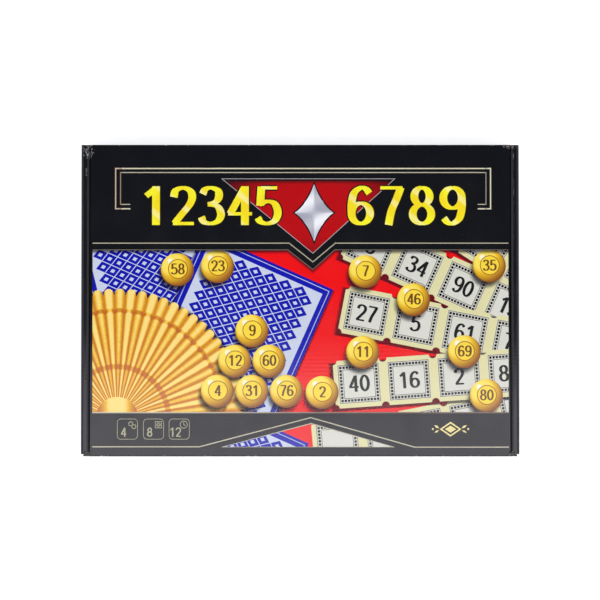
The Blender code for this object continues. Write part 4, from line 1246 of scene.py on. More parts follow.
class BINGO_OT_signs(Operator):
    """Print the rounded signs and the small lozenge ornament on the lid's lower band"""

    bl_idname = "bingo_game.signs"
    bl_label = "Signs"

    def execute(self, context):
        sizes, colours = settings()
        size, small = sizes.icon_size, sizes.icon_size - 1.6 * sizes.hair_line
        digits = numerals(0.15, 0.11, 3)
        shapes = []
        for left, text in zip(SIGN_LEFT, ("4", "8", "12")):
            middle = mm((left, SIGN_MIDDLE))
            shapes.append(between(rounded(size, size, 3 * MM), rounded(small, small, 2.6 * MM)).at(middle))
            shapes.append(number(digits, text, 7.2 * MM, 1.05).at(middle + mm((-3.0, -2.4))))
        tokens = mm([(2.6, 4.2), (5.2, 2.0)]) + mm((SIGN_LEFT[0], SIGN_MIDDLE))
        shapes.append(repeated(between(circle(1.9 * MM, 20), circle(1.35 * MM, 20)), tokens))
        cells = mm([(2.4, 5.0), (5.4, 5.0), (2.4, 2.0), (5.4, 2.0)]) + mm((SIGN_LEFT[1], SIGN_MIDDLE))
        shapes.append(repeated(between(rectangle(2.5 * MM, 2.5 * MM), rectangle(1.6 * MM, 1.6 * MM)), cells))
        dial = mm((SIGN_LEFT[2] + 3.6, SIGN_MIDDLE + 3.6))
        shapes.append(between(circle(3.1 * MM, 28), circle(2.6 * MM, 28)).at(dial))
        shapes.append(ribbon(mm([(0.0, 2.0), (0.0, 0.0), (1.5, -0.9)]), 0.45 * MM).at(dial))
        signs = [shape.inked(colours.sign_ink) for shape in shapes]
        emblem = [between(LOZENGE * mm((9.6, 6.6)), LOZENGE * mm((7.4, 5.0))),
                  filled(LOZENGE * mm((5.0, 3.2)))]
        for side in (-1, 1):
            emblem.append(filled(LOZENGE * mm((2.8, 1.1))).at(mm((side * 12.2, 2.2)), side * 32))
            emblem.append(filled(LOZENGE * mm((2.4, 0.9))).at(mm((side * 12.2, -2.0)), side * -28))
            emblem.append(filled(circle(0.9 * MM, 16)).at(mm((side * 15.6, 0.2))))
        signs += [shape.at(mm(EMBLEM_MIDDLE), scale=(0.9, 0.9)).inked((0.86, 0.72, 0.30)) for shape in emblem]
        lid_print("lid_signs", [(shape, OUTLINE_FILM) for shape in signs], "sign_ink")
        return {"FINISHED"}


# What the box holds: cards, leaflet, discs, and the bag with its drawstring

LOTTO_NUMBERS = ". 12 . 33 . 58 67 . 81 4 . 21 . 46 . 63 75 . 9 . 28 37 49 . . 79 .".split()
BINGO_NUMBERS = ("1 25 42 58 66 15 16 38 51 70 3 28 . 60 62 12 19 44 47 73 7 22 31 55 68").split()
DISC_NUMBERS = "17 42 8 63 29 5 71 36 50 14 88 23 9 66 31".split()
# Millimetres: how deep the discs' faces are sunk, and how thick the paint in them is
DISC_RECESS, PAINT_THICKNESS = 0.8, 0.05
# The turn in degrees from one disc's numeral to the next one's
GOLDEN_ANGLE = 137.5
# Millimetres: a card's bare margin, and the radius of its printed corners
CARD_MARGIN, CARD_CORNER = 1.2, 2.6


def lying(node):
    """Where a flat card lies: its middle, its turn in degrees, its span and its top's height. The turn is the
    one with the least bounding box."""
    points = read_mesh(NODES[node].data).points
    turns = np.radians(np.linspace(-0.6, 0.6, 241))[:, None]
    x = points[:, 0] * np.cos(turns) + points[:, 1] * np.sin(turns)
    y = points[:, 1] * np.cos(turns) - points[:, 0] * np.sin(turns)
    span = np.stack([np.ptp(x, 1), np.ptp(y, 1)], -1)
    best = span.prod(1).argmin()
    turn = turns[best, 0]
    u, v = (x[best].max() + x[best].min()) / 2, (y[best].max() + y[best].min()) / 2
    middle = np.array([u * math.cos(turn) - v * math.sin(turn), u * math.sin(turn) + v * math.cos(turn)])
    return middle, math.degrees(turn), span[best], points[:, 2].max()


def ruled(columns, rows, cell, width):
    """The lines of a grid of cells, given each cell's width and height."""
    span_x, span_y = columns * cell[0], rows * cell[1]
    upright = ribbon([(0, -span_y / 2 - width / 2), (0, span_y / 2 + width / 2)], width)
    level = ribbon([(-span_x / 2, 0), (span_x / 2, 0)], width)
    x = np.linspace(-span_x / 2, span_x / 2, columns + 1)
    y = np.linspace(-span_y / 2, span_y / 2, rows + 1)
    return [repeated(upright, np.column_stack([x, 0 * x])), repeated(level, np.column_stack([0 * y, y]))]


def cell_middles(columns, rows, cell):
    """Middles of a grid's cells, row by row from the lowest."""
    x = (np.arange(columns) - (columns - 1) / 2) * cell[0]
    y = (np.arange(rows) - (rows - 1) / 2) * cell[1]
    return np.stack(np.meshgrid(x, y), -1).reshape(-1, 2)


def card_scratches(finish):
    """Fine scratches along a card."""
    return finish.grain(0.3 * MM, 2, (30, 1, 1), 11.0).rise(0.66, 0.8)


def card_stock(name, face):
    """Printed card: the print's ground colour on both faces, finely scratched, and grey board edges."""
    finish = Finish(name)
    up = finish.axes(finish.node("ShaderNodeTexCoord", output="Normal"))[2]
    flat = abs(up).rise(0.5, 0.8)
    fibre = finish.grain(0.35 * MM, 3, (6, 6, 0.6))
    mottle = finish.grain(0.8 * MM, 3, shift=7.0)
    edge = finish.mixed(fibre.rise(0.3, 0.7), (0.20, 0.19, 0.17), (0.38, 0.36, 0.33))
    print_ink = finish.mixed(mottle * 0.16, face, shaded(face, 0.75))
    finish.feed(Base_Color=finish.mixed(flat, edge, print_ink),
                Roughness=0.85 - flat * 0.50 + card_scratches(finish) * 0.1,
                Normal=finish.relief(fibre * (1 - flat) + mottle * flat * 0.15, 0.05 * MM))
    return finish


def card_ink(name):
    """Ink films on a card: the point's own tint under a satin varnish."""
    finish = Finish(name)
    mottle = finish.grain(0.8 * MM, 3)
    finish.feed(Base_Color=finish.mixed(mottle * 0.14, finish.attribute("tint"), (0.5, 0.48, 0.42)),
                Roughness=0.34 + card_scratches(finish) * 0.12, Normal=finish.relief(mottle, 0.008 * MM))
    return finish


class BINGO_OT_cards(Operator):
    """Print the lotto and bingo cards and the folded leaflet"""

    bl_idname = "bingo_game.cards"
    bl_label = "Cards and leaflet"

    def execute(self, context):
        _, colours = settings()
        digits = numerals(0.17, 0.10, 3)
        for kind, face, design in (("lotto", colours.straw_ink, self.lotto),
                                   ("bingo", colours.card_ink, self.bingo)):
            stock = card_stock(kind + "_card_stock", face)
            names = sorted(name for name in NODES if name.startswith(kind + "_card"))
            for name in names:
                clothe(name, stock)
            middle, turn, span, top = lying(names[-1])
            width, height = span - CARD_MARGIN * MM
            ground = filled(rounded(width, height, CARD_CORNER * MM)).inked(face)
            layers = [(shape.at(middle, turn), level)
                      for shape, level in [(ground, 1), *design(width, height, colours, digits)]]
            piece(kind + "_card_face", films(layers, top), "base",
                  card_ink(kind + "_card_ink"))
        self.leaflet(digits)
        return {"FINISHED"}

    def numbers(self, texts, middles, digits, height):
        """The numbers of a card's cells, none where a cell has a point."""
        return [number(digits, text, height, 1.05).at(middle)
                for text, middle in zip(texts, middles) if text != "."]

    def lotto(self, width, height, colours, digits):
        """Nine columns and three rows, five numbers a row, a lozenge in each empty cell, a beaded border."""
        columns, rows = 9, 3
        cell = mm((20, 20))
        middles = cell_middles(columns, rows, cell)
        empty = np.array([text == "." for text in LOTTO_NUMBERS])
        lozenge = joined([between(rectangle(9 * MM, 9 * MM), rectangle(7.8 * MM, 7.8 * MM)),
                          filled(rectangle(5 * MM, 5 * MM))]).at(turn=45)
        lines = [ribbon(rectangle(width - inset * MM, height - inset * MM), 0.35 * MM, closed=True)
                 for inset in (6.0, 13.0)]
        beads = border_beads(width - 9.5 * MM, height - 9.5 * MM, 2.3 * MM)
        dark = [*lines, *ruled(columns, rows, cell, 0.45 * MM),
                repeated(filled(rectangle(1.5 * MM, 1.5 * MM)), beads),
                *self.numbers(LOTTO_NUMBERS, middles, digits, 12.5 * MM)]
        field = filled(rectangle(columns * cell[0], rows * cell[1])).inked(colours.cream_ink)
        return ([(field, 2), (repeated(lozenge, middles[empty]).inked(colours.amber_ink), 3)]
                + [(shape.inked(colours.type_ink), 4) for shape in dark])

    def bingo(self, width, height, colours, digits):
        """Five columns and rows of numbers, a star in the middle cell, under a band of five ornaments."""
        count = 5
        cell = mm((26.5, 18.4))
        low, band = mm((0, -8.6)), mm((0, 49.0))
        middles = cell_middles(count, count, cell) + low
        rosette = joined([between(circle(5.2 * MM, 28), circle(4.3 * MM, 28)),
                          filled(star_outline(3.6, 3.6, 0.6, 32))]).inked(colours.card_ink)
        star = filled(star_outline(8.4, 7.6, 0.8, 48), 2).at(low).inked(colours.red_ink)
        white = [filled(rectangle(count * cell[0], count * cell[1])).at(low),
                 filled(rectangle(count * cell[0], 14 * MM)).at(band),
                 ribbon(rectangle(width - 4 * MM, height - 4 * MM), 0.5 * MM, closed=True)]
        dark = [shape.at(low) for shape in ruled(count, count, cell, 0.5 * MM)]
        dark += self.numbers(BINGO_NUMBERS, middles, digits, 11.5 * MM)
        return ([(shape.inked(colours.cream_ink), 2) for shape in white]
                + [(shape.inked(colours.type_ink), 3) for shape in dark]
                + [(repeated(rosette, cell_middles(count, 1, cell) + band), 3), (star, 3)])

    def leaflet(self, digits):
        """A folded sheet with two columns of grey bars, three step numbers and a small ruled diagram."""
        finish = Finish("leaflet_paper", Roughness=0.82)
        fibre = finish.grain(0.5 * MM, 4)
        cloud = finish.grain(9 * MM, 2, shift=4.0)
        uneven = (fibre * 0.5 + cloud * 0.5).rise(0.35, 0.7) * 0.5
        finish.feed(Base_Color=finish.mixed(uneven, (0.88, 0.88, 0.86), (0.78, 0.78, 0.75)),
                    Normal=finish.relief(fibre * 0.4 + cloud, 0.05 * MM))
        clothe("rules_leaflet", finish)
        low, high = (np.array(corner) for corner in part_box("rules_leaflet"))
        middle = (low + high)[:2] / 2
        rows, columns, last_short_row, paragraph = 19, 2, 11, 6
        left, right, first_line, line_pitch = -54.0, 4.0, 32.0, 3.5
        reach, ragged, last_line_share = 44.0, 6.0, 0.45
        index = np.arange(rows * columns)
        row, in_paragraph = index % rows, index % paragraph
        start = mm(np.column_stack([np.where(index < rows, left, right), first_line - row * line_pitch]))
        start = start + middle
        shorter = np.where(in_paragraph == paragraph - 1, last_line_share, 1.0)
        reach = (reach + ragged * np.sin(index * 2.1)) * MM * shorter
        shown_bars = ((index < rows) | (row <= last_short_row)) & (in_paragraph != 0)
        bar = rectangle(1, 0.9 * MM)
        points = np.stack([start[:, :1] + (bar[None, :, 0] + 0.5) * reach[:, None],
                           start[:, 1:] + bar[None, :, 1]], -1)[shown_bars].reshape(-1, 2)
        grey = (0.22, 0.22, 0.23)
        bars = facets(points, np.arange(len(points)).reshape(-1, 4)).inked(grey)
        steps = [number(digits, text, 4.2 * MM).at(middle + mm(place)).inked(grey)
                 for text, place in (("1", (-52, 33)), ("2", (-52, 12)), ("3", (6, 33)))]
        diagram = [shape.at(middle + mm((24, -22))).inked((0.25, 0.27, 0.45))
                   for shape in ruled(5, 4, mm((6, 4.5)), 0.3 * MM)]
        piece("leaflet_print", films([(shape, 1) for shape in (bars, *steps, *diagram)], high[2]),
              "base", card_ink("leaflet_ink"))


class BINGO_OT_discs(Operator):
    """Finish the loose discs as moulded plastic and paint brown numerals and rings on their sunk faces"""

    bl_idname = "bingo_game.discs"
    bl_label = "Number discs"

    def execute(self, context):
        _, colours = settings()
        names = sorted(name for name in NODES if name.startswith("number_disc"))
        finish = Finish("disc_plastic", Coat_Weight=0.25, Coat_Roughness=0.12, IOR=1.49)
        swirl = finish.grain(9 * MM, 3, (1, 2.2, 1), 3.0, 0.6)
        speck = finish.grain(0.5 * MM, 2, shift=6.0).rise(0.68, 0.74)
        scratch = finish.grain(0.25 * MM, 2, (18, 1, 6), 13.0).rise(0.64, 0.78)
        pearl = finish.mixed(swirl.rise(0.35, 0.65), colours.disc, shaded(colours.disc, 0.80))
        finish.feed(Base_Color=finish.mixed(speck * 0.35, pearl, (0.35, 0.20, 0.05)),
                    Roughness=0.26 + scratch * 0.2 + speck * 0.1,
                    Normal=finish.relief(scratch + swirl * 0.3, 0.01 * MM))
        for name in names:
            clothe(name, finish)
        digits = numerals(0.20, 0.15, 3)
        ring = between(circle(8.6 * MM, 40), circle(8.1 * MM, 40))
        shapes = []
        for index, (name, text) in enumerate(zip(names, DISC_NUMBERS)):
            low, high = (np.array(corner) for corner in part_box(name))
            middle = (low + high)[:2] / 2
            numeral = number(digits, text, 8.4 * MM, 1.05).at(middle, index * GOLDEN_ANGLE)
            shapes += [solid(shape).lifted(high[2] - DISC_RECESS * MM, PAINT_THICKNESS * MM)
                       for shape in (ring.at(middle), numeral)]
        paint = Finish("disc_paint", Roughness=0.45)
        chip = paint.grain(0.4 * MM, 3)
        chipped = chip.rise(0.55, 0.75) * 0.6
        paint.feed(Base_Color=paint.mixed(chipped, (0.10, 0.035, 0.01), (0.30, 0.15, 0.05)),
                   Normal=paint.relief(chip, 0.02 * MM))
        piece("disc_numerals", joined(shapes), "base", paint)
        return {"FINISHED"}


# The bag lies on its side with its neck towards the hinge. Millimetres, and one value for each station along
# it: where it is, its width, height, roundness, pleats' depth and lumps.
BAG_MIDDLE, BAG_FRONT, BAG_LENGTH, BAG_SEAT = -103.5, -114.2, 208.0, 1.8
BAG_BELLY, BAG_NECK, NECK_LIFT, NECK_SHARE = (117.2, 40.7), (27.0, 15.0), 3.7, 0.16
BAG_STATION = (0.00, 0.02, 0.07, 0.15, 0.27, 0.42, 0.56, 0.67, 0.745, 0.79, 0.83, 0.88, 0.94, 1.00)
BAG_WIDTH = (0.42, 0.62, 0.83, 0.95, 1.00, 1.00, 0.95, 0.80, 0.52, 0.00, 0.00, 0.16, 0.34, 0.44)
BAG_HEIGHT = (0.34, 0.52, 0.76, 0.91, 0.99, 1.00, 0.96, 0.82, 0.52, 0.00, 0.00, 0.10, 0.15, 0.14)
BAG_ROUND = (0.70, 0.70, 0.72, 0.74, 0.76, 0.76, 0.76, 0.80, 0.90, 1.00, 1.00, 0.92, 0.86, 0.84)
BAG_PLEAT = (0.35, 0.25, 0.15, 0.12, 0.12, 0.20, 0.45, 0.95, 1.45, 0.80, 0.80, 1.30, 1.75, 1.90)
BAG_LUMP = (0.0, 0.3, 0.8, 1.0, 1.0, 1.0, 1.0, 0.8, 0.3, 0.0, 0.0, 0.0, 0.0, 0.0)
NECK_STATION, FLARE_STATION, MOUTH_STATION = 9.5, 11.0, 13.0
PLEATS = 21
# The drawstring: how far its middle stands off the skin, its radius, its lay's pitch and a strand's share
CORD_STAND_OFF, CORD_RADIUS, CORD_PITCH, STRAND_SHARE = 2.0, 1.4, 5.2, 0.47


def along_row(values, station):
    """A smooth curve through a row of values: each span's cubic ends as steep as half the way between its
    neighbours."""
    values = np.asarray(values, float)
    last = len(values) - 1
    index = np.clip(np.asarray(station, float).astype(int), 0, last - 1)
    share = station - index
    low, high = values[index], values[index + 1]
    rise = (high - values[np.maximum(index - 1, 0)]) / 2
    fall = (values[np.minimum(index + 2, last)] - low) / 2
    span = high - low
    return low + share * (rise + share * (3 * span - 2 * rise - fall + share * (rise + fall - 2 * span)))


def bag_skin(station, angle, out=0.0):
    """The bag's smooth skin in millimetres: at each station a rounded section that stands on the seat, whose
    half width and half height carry a power of the cosine and of the sine of the angle."""
    wide = np.maximum(along_row(BAG_WIDTH, station), 0)
    tall = np.maximum(along_row(BAG_HEIGHT, station), 0)
    half_width = (BAG_NECK[0] + (BAG_BELLY[0] - BAG_NECK[0]) * wide) / 2
    half_height = (BAG_NECK[1] + (BAG_BELLY[1] - BAG_NECK[1]) * tall) / 2
    middle = BAG_SEAT + NECK_LIFT * np.maximum(1 - wide / NECK_SHARE, 0) + half_height
    power = along_row(BAG_ROUND, station)
    cosine, sine = np.cos(angle), np.sin(angle)
    x = BAG_MIDDLE + half_width * np.sign(cosine) * np.abs(cosine) ** power
    y = BAG_FRONT + BAG_LENGTH * along_row(BAG_STATION, station) + 0 * angle
    z = middle + half_height * np.sign(sine) * np.abs(sine) ** power
    normal = unit(np.stack([cosine / half_width, 0 * cosine * half_width, sine / half_height], -1))
    return np.stack([x, y, z], -1) + normal * (np.asarray(out) + 0 * x)[..., None]


def bag_folds(station, angle, rng):
    """How far the cloth stands off the smooth skin, in millimetres: pleats that gather at the neck, each
    fading over its own length, flat round lumps where discs press from inside, and a ridge along each side
    seam."""
    girth, across_step, along_step, shift, first = 290, 26.4, 25, 13, 14
    columns, rows = 11, 6
    lump_reach, lump_rim, seam_height, seam_sharpness = 14.5, 6.0, 0.55, 14
    drift = angle + 0.16 * np.sin(2 * angle + 0.6) + 0.07 * np.sin(5 * angle + 2.0)
    fade = 0.72 + 0.28 * np.sin(3 * angle + 1.0) * np.sin(7 * angle + 0.4)
    depth = along_row(BAG_PLEAT, station)
    body = np.clip((NECK_STATION - station) / 3, 0, 1)
    pleats = depth * (1 - body * (1 - fade)) * (np.cos(PLEATS * drift) - 1) * 0.9
    around = angle / (2 * np.pi) * girth
    along = BAG_LENGTH * along_row(BAG_STATION, station)
    grid_y, grid_x = np.meshgrid(np.arange(rows) * along_step + first, np.arange(columns) * across_step,
                                 indexing="ij")
    grid_x = grid_x + (np.arange(rows) % 2)[:, None] * shift
    centres = np.stack([grid_x, grid_y], -1).reshape(-1, 2) + rng.uniform(-4, 4, (rows * columns, 2))
    heights = rng.uniform(0.5, 1.9, rows * columns)
    gap_x = np.abs(around[..., None] - centres[:, 0]) % girth
    gap_x = np.minimum(gap_x, girth - gap_x)
    gap = np.sqrt(gap_x ** 2 + (along[..., None] - centres[:, 1]) ** 2)
    plateau = np.clip((lump_reach - gap) / lump_rim, 0, 1)
    lumps = (plateau * plateau * (3 - 2 * plateau) * heights).max(-1)
    seam = np.exp(-(np.sin(angle) * seam_sharpness) ** 2) * seam_height
    return pleats + along_row(BAG_LUMP, station) * (lumps - 0.5) + seam * np.clip(station, 0, 1)


# The cloth simulation of the bag: its settings and its length in frames
CLOTH = {"quality": 6, "mass": 0.25, "tension_stiffness": 12, "compression_stiffness": 12,
         "shear_stiffness": 4, "bending_stiffness": 0.4, "vertex_group_mass": "held", "use_pressure": True}
CLOTH_FRAMES = 20
# Its pressure, the share by which the cloth grows, and the most that a point moves, in metres
CLOTH_PRESSURE, CLOTH_GROWTH, CLOTH_CAP = 4.0, 0.05, 2.6 * MM
# The station from which the cloth is held, and over how many stations it comes to be held wholly
HELD_STATION, HELD_OVER = 7.6, 1.2


def swollen(shape, held):
    """Cloth let swell from inside: cloth simulation on a copy, some points held by a share, and then each
    point kept within a cap of its start by a hyperbolic tangent."""
    holder = shown("work", shape)
    group = holder.vertex_groups.new(name="held")
    levels = np.round(held * 10) / 10
    for level in np.unique(levels[levels > 0]):
        group.add(np.flatnonzero(levels == level).tolist(), float(level), "REPLACE")
    cloth = holder.modifiers.new("cloth", "CLOTH")
    for setting, value in CLOTH.items():
        setattr(cloth.settings, setting, value)
    cloth.settings.uniform_pressure_force = CLOTH_PRESSURE
    cloth.settings.shrink_min = -CLOTH_GROWTH
    cloth.settings.effector_weights.gravity = 0
    cloth.collision_settings.use_collision = False
    cloth.point_cache.frame_end = CLOTH_FRAMES
    scene = bpy.context.scene
    for frame_number in range(1, CLOTH_FRAMES + 1):
        scene.frame_set(frame_number)
    evaluated = holder.evaluated_get(bpy.context.evaluated_depsgraph_get())
    points = np.zeros(len(shape.points) * 3)
    evaluated.data.vertices.foreach_get("co", points)
    scene.frame_set(1)
    discard(holder)
    move = points.reshape(-1, 3) - shape.points
    far = np.linalg.norm(move, axis=1, keepdims=True)
    kept = CLOTH_CAP * np.tanh(far / CLOTH_CAP) / np.maximum(far, SAME_PLACE)
    return shape.moved(shape.points + move * kept)


def crosswise(path, reference, closed):
    """Each point's two directions across a path: one square to the path and a reference, one to both."""
    before, after = np.roll(path, 1, 0), np.roll(path, -1, 0)
    if not closed:
        before[0], after[-1] = path[0], path[-1]
    tangent = unit(after - before)
    side = unit(np.cross(tangent, reference))
    return side, np.cross(side, tangent)


def tube(centres, side, up, radius, travelled, sides, closed):
    """A circle carried along its centres by two directions across. Its place runs along and around."""
    ring = full_turn(sides)
    rows = len(centres)
    points = centres[:, None] + radius * (np.cos(ring)[None, :, None] * side[:, None]
                                          + np.sin(ring)[None, :, None] * up[:, None])
    place = np.stack(np.broadcast_arrays(travelled[:, None], ring * radius), -1)
    groups = [grid_faces(rows, sides, closed, True)]
    if not closed:
        end = np.arange(sides)[None]
        groups += [end[:, ::-1], (rows - 1) * sides + end]
    return facets(points.reshape(-1, 3), *groups, place=place.reshape(-1, 2))


def rope(path, reference, closed=False):
    """A cord laid from three strands: each strand's centre winds round the path once a pitch, and a circle is
    carried along it. The reference is a direction that the path never follows."""
    side, up = crosswise(path, reference, closed)
    step = np.linalg.norm(np.diff(path, axis=0, append=path[:1] if closed else path[-1:]), axis=1)
    travelled = np.concatenate([[0], np.cumsum(step)[:-1]])
    turns = travelled / CORD_PITCH
    if closed:
        turns = travelled / step.sum() * max(1, round(step.sum() / CORD_PITCH))
    strand = CORD_RADIUS * STRAND_SHARE
    shapes = []
    for third in range(3):
        phase = (turns + third / 3)[:, None] * 2 * np.pi
        centres = path + (CORD_RADIUS - strand) * (np.cos(phase) * side + np.sin(phase) * up)
        shapes.append(tube(centres, side, up, strand, travelled, 8, closed))
    return joined(shapes)


def knotted(middle, size, radius, steps=96):
    """A tight overhand knot: a cord along the curve sin t + 2 sin 2t, cos t - 2 cos 2t, -sin 3t, drawn to a
    width and a height."""
    t = full_turn(steps)
    line = np.column_stack([np.sin(t) + 2 * np.sin(2 * t), np.cos(t) - 2 * np.cos(2 * t), -np.sin(3 * t)])
    half_width, half_height = size[0] / 2 - radius, size[1] / 2 - radius
    path = middle + line * [half_width / 3, half_width / 3, half_height]
    side, up = crosswise(path, path - middle, True)
    return tube(path, side, up, radius, np.arange(steps) * radius, 10, True)


def outward(made):
    """Turns every face of a closed mesh outwards."""
    work = bmesh.new()
    work.from_mesh(made.data)
    bmesh.ops.recalc_face_normals(work, faces=work.faces)
    work.to_mesh(made.data)
    work.free()


class BINGO_OT_bag(Operator):
    """Sew the filled bag as one closed sheet of gathered cloth, and lay the drawstring round its neck"""

    bl_idname = "bingo_game.bag"
    bl_label = "Bag and drawstring"

    def execute(self, context):
        sewn, held = self.sheet(np.random.default_rng(SEED))
        sewn = swollen(sewn, held)
        sewn.points[:, 2] = np.maximum(sewn.points[:, 2], BAG_SEAT * MM)
        bag = piece("drawstring_bag_cloth", sewn, "base", self.cloth(), smooth=True)
        outward(bag)
        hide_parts("drawstring_bag")
        self.cord()
        return {"FINISHED"}

    def sheet(self, rng):
        """The bag as one closed sheet: its end drawn to a middle point, its outside, and the cloth turned in
        at its mouth. With it comes the share by which each point is held."""
        columns, end_rows, outside_rows, lining_rows = 231, 9, 157, 40
        end_bulge, cloth_thickness = 2.2, 0.55
        angle = full_turn(columns)[None, :]
        end_share = np.linspace(0.06, 0.94, end_rows)[:, None]
        outer = np.linspace(0, MOUTH_STATION, outside_rows)
        lining = np.linspace(MOUTH_STATION - 0.03, NECK_STATION + 0.6, lining_rows)
        folds = bag_folds(outer[:, None] + 0 * angle, angle + 0 * outer[:, None], rng)
        skin = bag_skin(outer[:, None], angle, folds)
        scallop = 1.9 * np.sin(5 * angle + 1.0) + 1.1 * np.sin(9 * angle) - 1.6
        skin[..., 1] += np.clip(outer[:, None] - FLARE_STATION, 0, 2) / 2 * scallop
        first = skin[0]
        hub = first.mean(0)
        end = hub + end_share[..., None] * (first - hub)
        end[..., 1] -= end_bulge * (1 - end_share ** 2)
        inner_folds = np.stack([np.interp(lining, outer, column) for column in folds.T], -1)
        inside = bag_skin(lining[:, None], angle, inner_folds - cloth_thickness)
        inside[..., 1] += np.clip(lining[:, None] - FLARE_STATION, 0, 2) / 2 * scallop
        rows = np.concatenate([end, skin, inside])
        count = len(rows)
        belly = skin[np.searchsorted(outer, 5)]
        around = np.concatenate([[0], np.cumsum(np.linalg.norm(np.diff(belly, axis=0), axis=1))])
        run = np.cumsum(np.linalg.norm(np.diff(rows[:, 0], axis=0, prepend=rows[:1, 0]), axis=1))
        place = np.stack(np.broadcast_arrays(around, run[:, None]), -1).reshape(-1, 2)
        # Painted shade: the cloth is darker in the pleats' valleys and between the lumps, and darker still
        # where it turns in at the mouth
        fold_shade = np.concatenate([np.zeros((end_rows, columns)), -folds / 3, -inner_folds / 3 + 0.5])
        tint = np.clip(fold_shade, 0, 1).reshape(-1, 1) * np.ones(3)
        points = np.concatenate([rows.reshape(-1, 3), [rows[0].mean(0) - [0, 0.3, 0]], [rows[-1].mean(0)]])
        size = count * columns
        step = np.arange(columns)
        following = (step + 1) % columns
        front = np.stack([np.full(columns, size), step, following], -1)
        back = np.stack([np.full(columns, size + 1), following + size - columns, step + size - columns], -1)
        sewn = facets(points * MM, grid_faces(count, columns, False, True), front, back,
                      tint=np.concatenate([tint, np.zeros((2, 3))]),
                      place=np.concatenate([place, np.zeros((2, 2))]) * MM)
        station = np.concatenate([np.zeros(end_rows), outer, np.full(lining_rows, MOUTH_STATION)])
        held = np.clip((station - HELD_STATION) / HELD_OVER, 0.0, 1)
        return sewn, np.concatenate([np.repeat(held, columns), [0.0, 1.0]])

    def cloth(self):
        """Plain-woven cotton: warp and weft as waves of the cloth's own place, slubs, painted shade in the
        folds and inside the mouth, and sheen.
        """
        _, colours = settings()
        finish = Finish("bag_cloth", Roughness=0.86, Sheen_Weight=0.35, Sheen_Roughness=0.45)
        place = finish.attribute("place")
        u, v, _ = finish.axes(place)
        thread = 0.85 * MM
        slub = finish.grain(2.5 * MM, 3, (1, 9, 1), vector=place)
        slub_across = finish.grain(2.5 * MM, 3, (9, 1, 1), 7.0, vector=place)
        warp, weft = u.wave(thread), v.wave(thread)
        over = (u.wave(2 * thread) - 0.5) * (v.wave(2 * thread) - 0.5)
        weave = warp * (over > 0) + weft * (over < 0)
        # Painted shade from the tint: darker cloth in the folds and inside the mouth
        crease = finish.parts("tint")[0]
        base = finish.mixed((slub * 0.5 + slub_across * 0.5).rise(0.35, 0.65), colours.cloth,
                            shaded(colours.cloth, 0.72))
        base = finish.mixed((1 - weave) * 0.45, base, shaded(colours.cloth, 0.40))
        finish.feed(Base_Color=finish.mixed(crease * 0.55, base, shaded(colours.cloth, 0.30)),
                    Normal=finish.relief(weave * 0.7 + slub * 0.5, 0.16 * MM))
        return finish

    def cord(self):
        """The three-strand drawstring: a ring round the neck, an overhand knot on top and two tails with end
        knots."""
        _, colours = settings()
        steps = 240
        neck = bag_skin(np.full(steps, NECK_STATION), full_turn(steps), CORD_STAND_OFF)
        shapes = [rope(neck, (0, 1, 0), True), knotted(neck[steps // 4] + [0, 0, 1.2], (7.5, 5.2), 1.3)]
        for side in (-1, 1):
            share = np.linspace(0.03, 1, 64)
            station = NECK_STATION + (MOUTH_STATION - NECK_STATION) * share * 0.74
            tail = bag_skin(station, np.pi / 2 - side * math.radians(24) * share, CORD_STAND_OFF)
            shapes += [rope(tail, (0, 0, 1)), knotted(tail[-1] + [0, 0.8, 0.2], (5.0, 4.0), 0.95)]
        made = joined(shapes)
        made.points = made.points * MM
        made.place = made.place * MM
        finish = Finish("cord_cotton", Roughness=0.8, Sheen_Weight=0.3, Sheen_Roughness=0.5)
        along, around, _ = finish.parts("place")
        yarn = (along + around * 2.2).wave(0.42 * MM)
        fuzz = finish.grain(0.3 * MM, 3)
        tone = finish.mixed(fuzz.rise(0.3, 0.7), colours.cord, shaded(colours.cord, 0.62))
        finish.feed(Base_Color=finish.mixed((1 - yarn) * 0.4, tone, shaded(colours.cord, 0.4)),
                    Normal=finish.relief(yarn * 0.6 + fuzz * 0.4, 0.09 * MM))
        drawstring = piece("neck_drawstring", made, "base", finish, smooth=True)
        outward(drawstring)
        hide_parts("drawstring")


# Stage


# Millimetres: the floor's height and half its width, in as many steps as it has squares
FLOOR_LEVEL, FLOOR_HALF, FLOOR_STEPS = -0.4, 20000, 24
# Each soft light: place and aim in metres, width and length, watts and tone
LAMPS = (("left_light", (-1.9, -0.1, 1.6), (0, 0, 0), (1.4, 1.8), 10, (1, 1, 1)),
         ("right_light", (1.9, -0.1, 1.6), (0, 0, 0), (1.4, 1.8), 10, (1, 1, 1)),
         ("back_light", (0, 2.1, 1.7), (0, 0, 0), (2.0, 1.2), 29, (1, 1, 1)),
         ("front_light", (0, -2.1, 1.7), (0, 0, 0), (2.0, 1.2), 29, (1, 1, 1)),
         ("front_panel", (0, -0.468, 1.75), (0, -0.468, 0), (1.6, 0.78), 9, (1.0, 0.985, 1.05)))
SKY_COLOUR, SKY_STRENGTH = (0.88, 0.96, 1.16, 1), 0.14
# The camera: metres from the lid, lean in degrees, metres off the middle, and lens in millimetres
CAMERA_DISTANCE, CAMERA_LEAN, CAMERA_SHIFT, CAMERA_LENS = 1.55, 1.15, (-0.0001, 0.0003), 116.5


def lamp(name, place, aim, size, strength, tone):
    """A rectangular soft light at a place, turned towards a point."""
    data = bpy.data.lights.new(name, "AREA")
    data.shape = "RECTANGLE"
    data.size, data.size_y = size
    data.energy = strength
    data.color = tone
    made = bpy.data.objects.new(name, data)
    bpy.context.scene.collection.objects.link(made)
    made.location = place
    made.rotation_mode = "QUATERNION"
    made.rotation_quaternion = Vector(np.subtract(aim, place)).to_track_quat("-Z", "Y")


